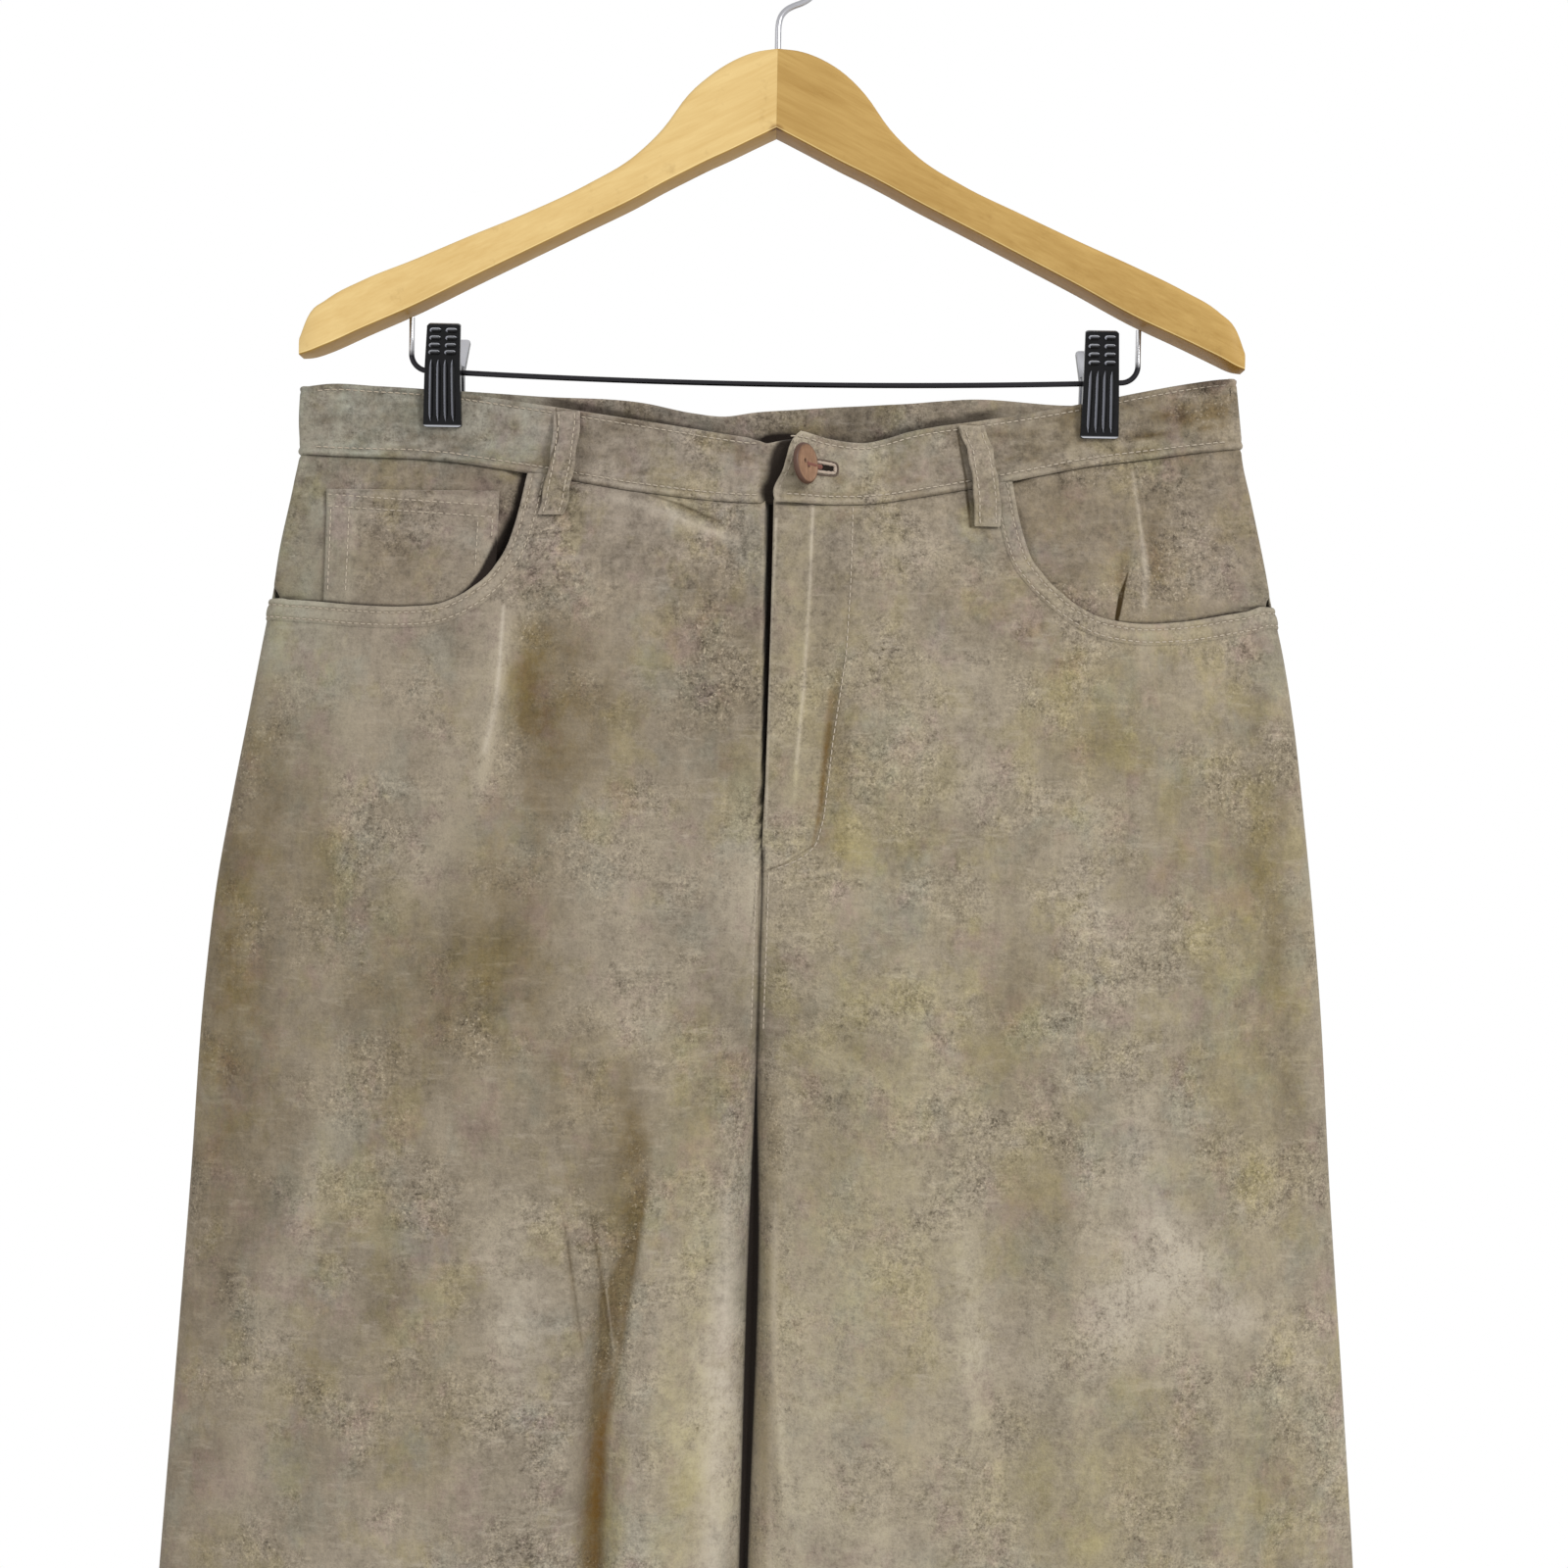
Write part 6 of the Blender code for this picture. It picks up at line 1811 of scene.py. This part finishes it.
def suede_finish(name):
    """Brushed suede: clouds, smudges and fine nap in three hues, then dust, gold and dark from its
    paint, the dark partly painted shade and the black share painted shade, and the fine lines of the
    front: wear, painted highlights and painted shade.
    """
    finish = Finish(name, Roughness=0.94, Specular_IOR_Level=0.1, Sheen_Weight=0.09, Sheen_Roughness=0.55,
                    Sheen_Tint=(0.95, 0.9, 0.8, 1.0))
    place = finish.place()
    dust, gold, dark = finish.painted()
    black = finish.node("ShaderNodeAttribute", {"attribute_name": "paint"}, {}, "Alpha")
    across, depth, up = finish.parts(place)
    clouds = finish.noise(finish.stretched(place, (1.0, 1.0, 0.6)), 16.0, 4.0, 0.6) - 0.5
    smudges = finish.noise(finish.stretched(place, (1.0, 1.0, 0.7)), 58.0, 5.0, 0.7) - 0.5
    specks = finish.noise(place, 260.0, 4.0, 0.75) - 0.5
    grain = finish.noise(place, 900.0, 2.0, 0.75) - 0.5
    level = finish.noise(finish.stretched(place, (70.0, 70.0, 620.0)), 1.0, 3.0, 0.6) - 0.5
    upright = finish.noise(finish.stretched(place, (480.0, 480.0, 50.0)), 1.0, 3.0, 0.6) - 0.5
    rubbed = ((finish.noise(place, 24.0, 3.0, 0.6) - 0.47) * 7.0).clamped()
    upper = ((up + 0.36) * 14.0).clamped()
    nap = 0.52 + clouds * 0.5 + smudges * (0.75 + upper * 0.35) + specks * (0.6 + rubbed * 0.9 + upper * 0.6)
    nap = (nap + grain * (0.4 + rubbed * 0.9) + level * (0.15 + rubbed * 0.25) + upright * 0.15).clamped()
    colour = finish.mix(nap, rgb(69, 61, 51), rgb(160, 149, 133))
    for scale, first, share, tone in ((31.0, 0.53, 0.8, (0.97, 1.05, 1.1, 1.0)),
                                      (43.0, 0.54, 0.8, (1.02, 0.93, 1.02, 1.0)),
                                      (37.0, 0.52, 0.75, (1.02, 1.02, 0.82, 1.0))):
        shifted = finish.vector("ADD", place, (scale, 0.0, 2.0))
        hue = finish.noise(finish.stretched(shifted, (1.0, 1.0, 0.8)), scale, 4.0, 0.65)
        colour = finish.mix(((hue - first) * 9.0).clamped() * share, colour, tone, "MULTIPLY")
    scuffs = finish.noise(finish.stretched(place, (60.0, 60.0, 230.0)), 1.0, 5.0, 0.75)
    colour = finish.mix(((scuffs - 0.55) * 8.0).clamped() * 0.35, colour, rgb(164, 155, 142))
    broken = ((finish.noise(finish.stretched(place, (1.0, 1.0, 0.8)), 66.0, 5.0, 0.72) - 0.4) * 4.0).clamped()
    dusty = (dust * (0.3 + broken * 0.75 + specks * 1.4 + grain * 0.9)).clamped()
    colour = finish.mix(dusty, colour, rgb(159, 150, 135))
    golden = (gold * (0.5 + broken * 0.6 + smudges * 1.2)).clamped()
    colour = finish.mix(golden, colour, (1.02, 1.02, 0.76, 1.0), "MULTIPLY")
    # The dark share is partly painted shade, from crease troughs and broad patches
    deep = (dark * (0.65 + broken * 0.4 + specks * 0.9)).clamped()
    colour = finish.mix(deep, colour, (0.5, 0.43, 0.31, 1.0), "MULTIPLY")
    flecks = ((finish.noise(place, 620.0, 2.0, 0.6) - 0.6) * 12.0).clamped() * rubbed
    colour = finish.mix(flecks * 0.5, colour, rgb(172, 160, 138))
    pits = ((0.39 - finish.noise(place, 540.0, 2.0, 0.6)) * 12.0).clamped() * rubbed
    colour = finish.mix(pits * 0.5, colour, (0.55, 0.52, 0.45, 1.0), "MULTIPLY")
    colour = finish.mix(upper, colour, (0.93, 0.925, 0.97, 1.0), "MULTIPLY")
    in_front = ((-0.006 - depth) * 1500.0).clamped()
    flat = finish.stretched(place, (1.0, 0.0, 1.0))
    # Worn and painted highlight lines, then lines of painted brown shade and of painted dark shade
    for lines, drawn_in in ((WEAR_AND_HIGHLIGHT_LINES, rgb(176, 166, 151)), (BROWN_SHADE_LINES, rgb(94, 68, 27)),
                            (PAINTED_SHADE_LINES, rgb(46, 34, 12))):
        share = drawn_lines(finish, flat, lines) * in_front * (0.7 + specks * 1.4 + broken * 0.3)
        colour = finish.mix(share.clamped(), colour, drawn_in)
    washed = ((-0.182 - across) * 30.0).clamped() * ((up + 0.42) * 9.0).clamped()
    band = ((-0.104 - across) * 90.0).clamped() * ((up + 0.259) * 400.0).clamped()
    washed = washed.math("MAXIMUM", washed, band * 0.9) * (0.6 + smudges * 2.0) * in_front
    colour = finish.mix(washed.clamped(), colour, (0.93, 1.07, 1.07, 1.0), "MULTIPLY")
    # Painted shade: black where the paint's fourth share says, in gaps, under edges and between the legs
    colour = finish.mix(black.clamped(), colour, (0.012, 0.008, 0.006, 1.0))
    height = grain * 0.6 + specks * 0.8 + level * 0.25 + upright * 0.2
    return finish.wear(Base_Color=colour, Normal=finish.bump(height, 0.7, 0.0007))


def wood_finish(name, lean, tone):
    """Varnished pale wood: long grain along the arm, faint rings and small worn marks, with a painted
    highlight along the lower front arris and painted shade on faces turned down.
    """
    light, dark = tone
    finish = Finish(name, Specular_IOR_Level=0.06)
    place = finish.place()
    turned = finish.node("ShaderNodeVectorRotate", {"rotation_type": "Y_AXIS"},
                         {"Vector": place, "Angle": lean})
    grain = finish.noise(finish.stretched(turned, (9.0, 210.0, 210.0)), 1.0, 5.0, 0.6) - 0.5
    fine = finish.noise(finish.stretched(turned, (40.0, 900.0, 900.0)), 1.0, 3.0, 0.6) - 0.5
    cloud = finish.noise(place, 14.0, 3.0, 0.5) - 0.5
    mark = finish.noise(place, 90.0, 4.0, 0.7) - 0.6
    share = (0.5 + grain * 1.1 + fine * 0.6 + cloud * 0.8).clamped()
    colour = finish.mix(share, dark, light)
    colour = finish.mix((mark * 5.0).clamped() * 0.35, colour, rgb(122, 92, 48))
    for spot, size in (((0.0, -0.0105, -0.0972), 0.0042), ((-0.168, -0.016, -0.1832), 0.0034),
                       ((0.168, -0.016, -0.1832), 0.0034)):
        away = finish.vector("DISTANCE", place, spot, "Value")
        near = (1.6 - away * (1.6 / size)).clamped()
        colour = finish.mix(near * 0.85, colour, rgb(92, 54, 26))
    upward = finish.facing()[2]
    # Painted highlight along the lower front arris
    arris_highlight = ((-0.15 - upward) * 6.0).clamped() * ((upward + 0.6) * 6.0).clamped()
    colour = finish.mix(arris_highlight * 0.55, colour, rgb(226, 203, 146))
    # Painted shade on faces turned down
    below = ((-0.55 - upward) * 5.0).clamped()
    colour = finish.mix(below, colour, (0.6, 0.48, 0.24, 1.0), "MULTIPLY")
    rough = 0.4 + fine * 0.2 + mark * 0.2 + (upward * 0.4).clamped()
    relief = finish.bump(fine + grain * 0.4, 0.12, 0.0002)
    return finish.wear(Base_Color=colour, Roughness=rough, Normal=relief)


def steel_finish(name, colour, ends, polish):
    """Plated wire with a faint uneven polish, and the ends above the rod in a colour of their own."""
    finish = Finish(name, Metallic=1.0)
    place = finish.place()
    above = ((finish.parts(place)[2] + 0.2072) * 300.0).clamped()
    rough = polish + (finish.noise(place, 160.0) - 0.3) * 0.2
    return finish.wear(Base_Color=finish.mix(above, colour, ends), Roughness=rough)


def clip_finish():
    """Glossy charcoal plastic, slightly scuffed, with painted highlights on its bars, its ribs and its lower
    edge.
    """
    finish = Finish("clip_plastic", Specular_IOR_Level=0.14, Coat_Weight=0.1, Coat_Roughness=0.1)
    place = finish.place()
    scuff = finish.noise(place, 240.0, 4.0, 0.65)
    colour = finish.mix((scuff * 1.6 - 0.5).clamped(), rgb(4, 4, 5), rgb(15, 15, 19))
    side, forward, upward = finish.facing()
    # Painted highlights: pale on the bars' upper sides, the ribs' left sides and the lower edge
    outward = ((forward * forward - 0.12) * 6.0).clamped()
    bars = ((upward - 0.25) * 4.0).clamped() * outward
    ribs = ((-0.2 - side) * 4.0).clamped() * outward
    colour = finish.mix(ribs * 0.75, colour, rgb(150, 152, 162))
    lip = ((-0.24 - finish.parts(place)[2]) * 1500.0).clamped() * outward
    colour = finish.mix(lip * 0.7, colour, rgb(190, 192, 198))
    colour = finish.mix(bars * 0.9, colour, rgb(176, 178, 184))
    return finish.wear(Base_Color=colour, Roughness=0.18 + scuff * 0.22)


def button_finish():
    """Reddish tan button with a fine lengthwise grain, and painted shade darkening its rim and holes."""
    finish = Finish("button", Specular_IOR_Level=0.4)
    place = finish.place()
    hole, rim, _ = finish.painted()
    grain = finish.noise(finish.stretched(place, (900.0, 900.0, 170.0)), 1.0, 4.0, 0.65)
    colour = finish.mix((grain * 1.8 - 0.4).clamped(), rgb(94, 68, 51), rgb(144, 111, 86))
    # Painted shade: the rim darker, and the holes dark
    colour = finish.mix(rim * 0.9, colour, rgb(62, 36, 24))
    colour = finish.mix(hole, colour, rgb(44, 26, 18))
    return finish.wear(Base_Color=colour, Roughness=0.45 + grain * 0.15,
                       Normal=finish.bump(grain, 0.3, 0.0003))


def thread_finish(name, first, second):
    """Twisted thread: fine slanting turns of two near colours."""
    finish = Finish(name, Roughness=0.8, Specular_IOR_Level=0.25, Sheen_Weight=0.15)
    place = finish.place()
    twist = finish.noise(place, 1500.0, 2.0, 0.6)
    colour = finish.mix(twist, first, second)
    return finish.wear(Base_Color=colour, Normal=finish.bump(twist, 0.4, 0.0002))


def tape_finish():
    """Woven tape: fine crossing ribs."""
    finish = Finish("zip_tape", Roughness=0.85, Specular_IOR_Level=0.2)
    place = finish.place()
    ribs = finish.node("ShaderNodeTexWave", {"bands_direction": "DIAGONAL"},
                       {"Vector": place, "Scale": 400.0, "Distortion": 0.3}, 1)
    colour = finish.mix(ribs * 0.5, rgb(92, 80, 64), rgb(126, 112, 92))
    return finish.wear(Base_Color=colour, Normal=finish.bump(ribs, 0.4, 0.0002))


def set_the_stage():
    """A pale floor under the hems, white light all round, a key light from the upper right, a
    weaker one from the left, and the camera.
    """
    bpy.ops.mesh.primitive_plane_add(size=2.8, location=(0.0, 0.0, HEM_Z * MM - 0.06))
    floor = bpy.context.object
    floor.name = "floor"
    pale = Finish("floor", Roughness=0.8)
    grain = pale.noise(pale.place(), 3.0)
    floor.data.materials.append(pale.wear(Base_Color=pale.mix(grain, rgb(232, 232, 230), rgb(240, 240, 238))))
    world = bpy.data.worlds.new("studio")
    world.use_nodes = True
    world.node_tree.nodes["Background"].inputs["Color"].default_value = (1.0, 1.0, 1.0, 1.0)
    world.node_tree.nodes["Background"].inputs["Strength"].default_value = 1.0
    bpy.context.scene.world = world
    middle = Vector((0.0, 0.0, -0.45))
    for name, place, size, power in (("key", (1.5, -2.0, 0.75), 0.7, 46.0),
                                     ("fill", (-1.9, -1.4, 0.2), 1.2, 6.0)):
        data = bpy.data.lights.new(name, "AREA")
        data.size = size
        data.energy = power
        light = bpy.data.objects.new(name, data)
        bpy.context.scene.collection.objects.link(light)
        light.location = place
        light.rotation_euler = (Vector(place) - middle).to_track_quat("Z", "Y").to_euler()
    camera_data = bpy.data.cameras.new("camera")
    camera_data.sensor_width = SENSOR
    camera_data.lens = FOCAL_PIXELS / PHOTO_PIXELS * SENSOR
    camera = bpy.data.objects.new("camera", camera_data)
    bpy.context.scene.collection.objects.link(camera)
    c, s = math.cos(LEAN), math.sin(LEAN)
    y = HANG_Y - CAMERA_AWAY
    camera.matrix_world = Matrix(((c, -s, 0.0, CAMERA_X * MM), (0.0, 0.0, -1.0, y * MM),
                                  (s, c, 0.0, CAMERA_Z * MM), (0.0, 0.0, 0.0, 1.0)))
    bpy.context.scene.camera = camera
    bpy.context.scene.view_settings.view_transform = "Standard"


def dress():
    """Every sewn piece, its stitches and the button, then the hanger."""
    finishes = {
        "suede": suede_finish("suede"),
        "tape": tape_finish(),
        # The left arm's lighter tones and the right arm's darker ones are painted light and shade on one wood
        "wood_left": wood_finish("wood_left", math.radians(27.0), (rgb(200, 175, 122), rgb(178, 147, 92))),
        "wood_right": wood_finish("wood_right", math.radians(-27.0), (rgb(176, 146, 90), rgb(144, 112, 60))),
        "steel": steel_finish("steel", rgb(172, 172, 176), rgb(172, 172, 176), 0.24),
        "dark_steel": steel_finish("dark_steel", rgb(48, 47, 50), rgb(186, 186, 188), 0.2),
        "clip": clip_finish(),
        "button": button_finish(),
        "thread": thread_finish("thread", rgb(136, 124, 108), rgb(174, 163, 147)),
        "thread_light": thread_finish("thread_light", rgb(138, 122, 108), rgb(168, 154, 140)),
        "thread_dark": thread_finish("thread_dark", rgb(58, 46, 38), rgb(96, 80, 68)),
        "thread_red": thread_finish("thread_red", rgb(84, 44, 36), rgb(120, 74, 60)),
    }
    suede = finishes["suede"]
    for half in (LEFT, RIGHT):
        front_panel(half, suede)
        back_panel(half, suede)
        front_band(half, suede)
        facing(half, suede)
        pocket_lip(half, suede)
    back_band(suede)
    coin_pocket(suede)
    fly_top = float(waist("front_seam", 0.0)) - 2.0
    patch("fly_zip", RIGHT, (ZIP_LEFT, ZIP_RIGHT, fly_top, FLY_BOTTOM + 6.0), 1, finishes["tape"],
          "zip_tape", (12, 60))
    patch("fly_shield", RIGHT, (SHIELD_LEFT, SHIELD_RIGHT, fly_top, FLY_BOTTOM - 4.0), 4.4, suede,
          "suede_dark", (24, 60))
    for row in LOOPS:
        belt_loop(*row, suede)
    stitch_seams()
    sew(FRONT, finishes["thread"])
    sew(BACK, finishes["thread"])
    button_and_hole(finishes)
    hanger(finishes)


dress()
set_the_stage()
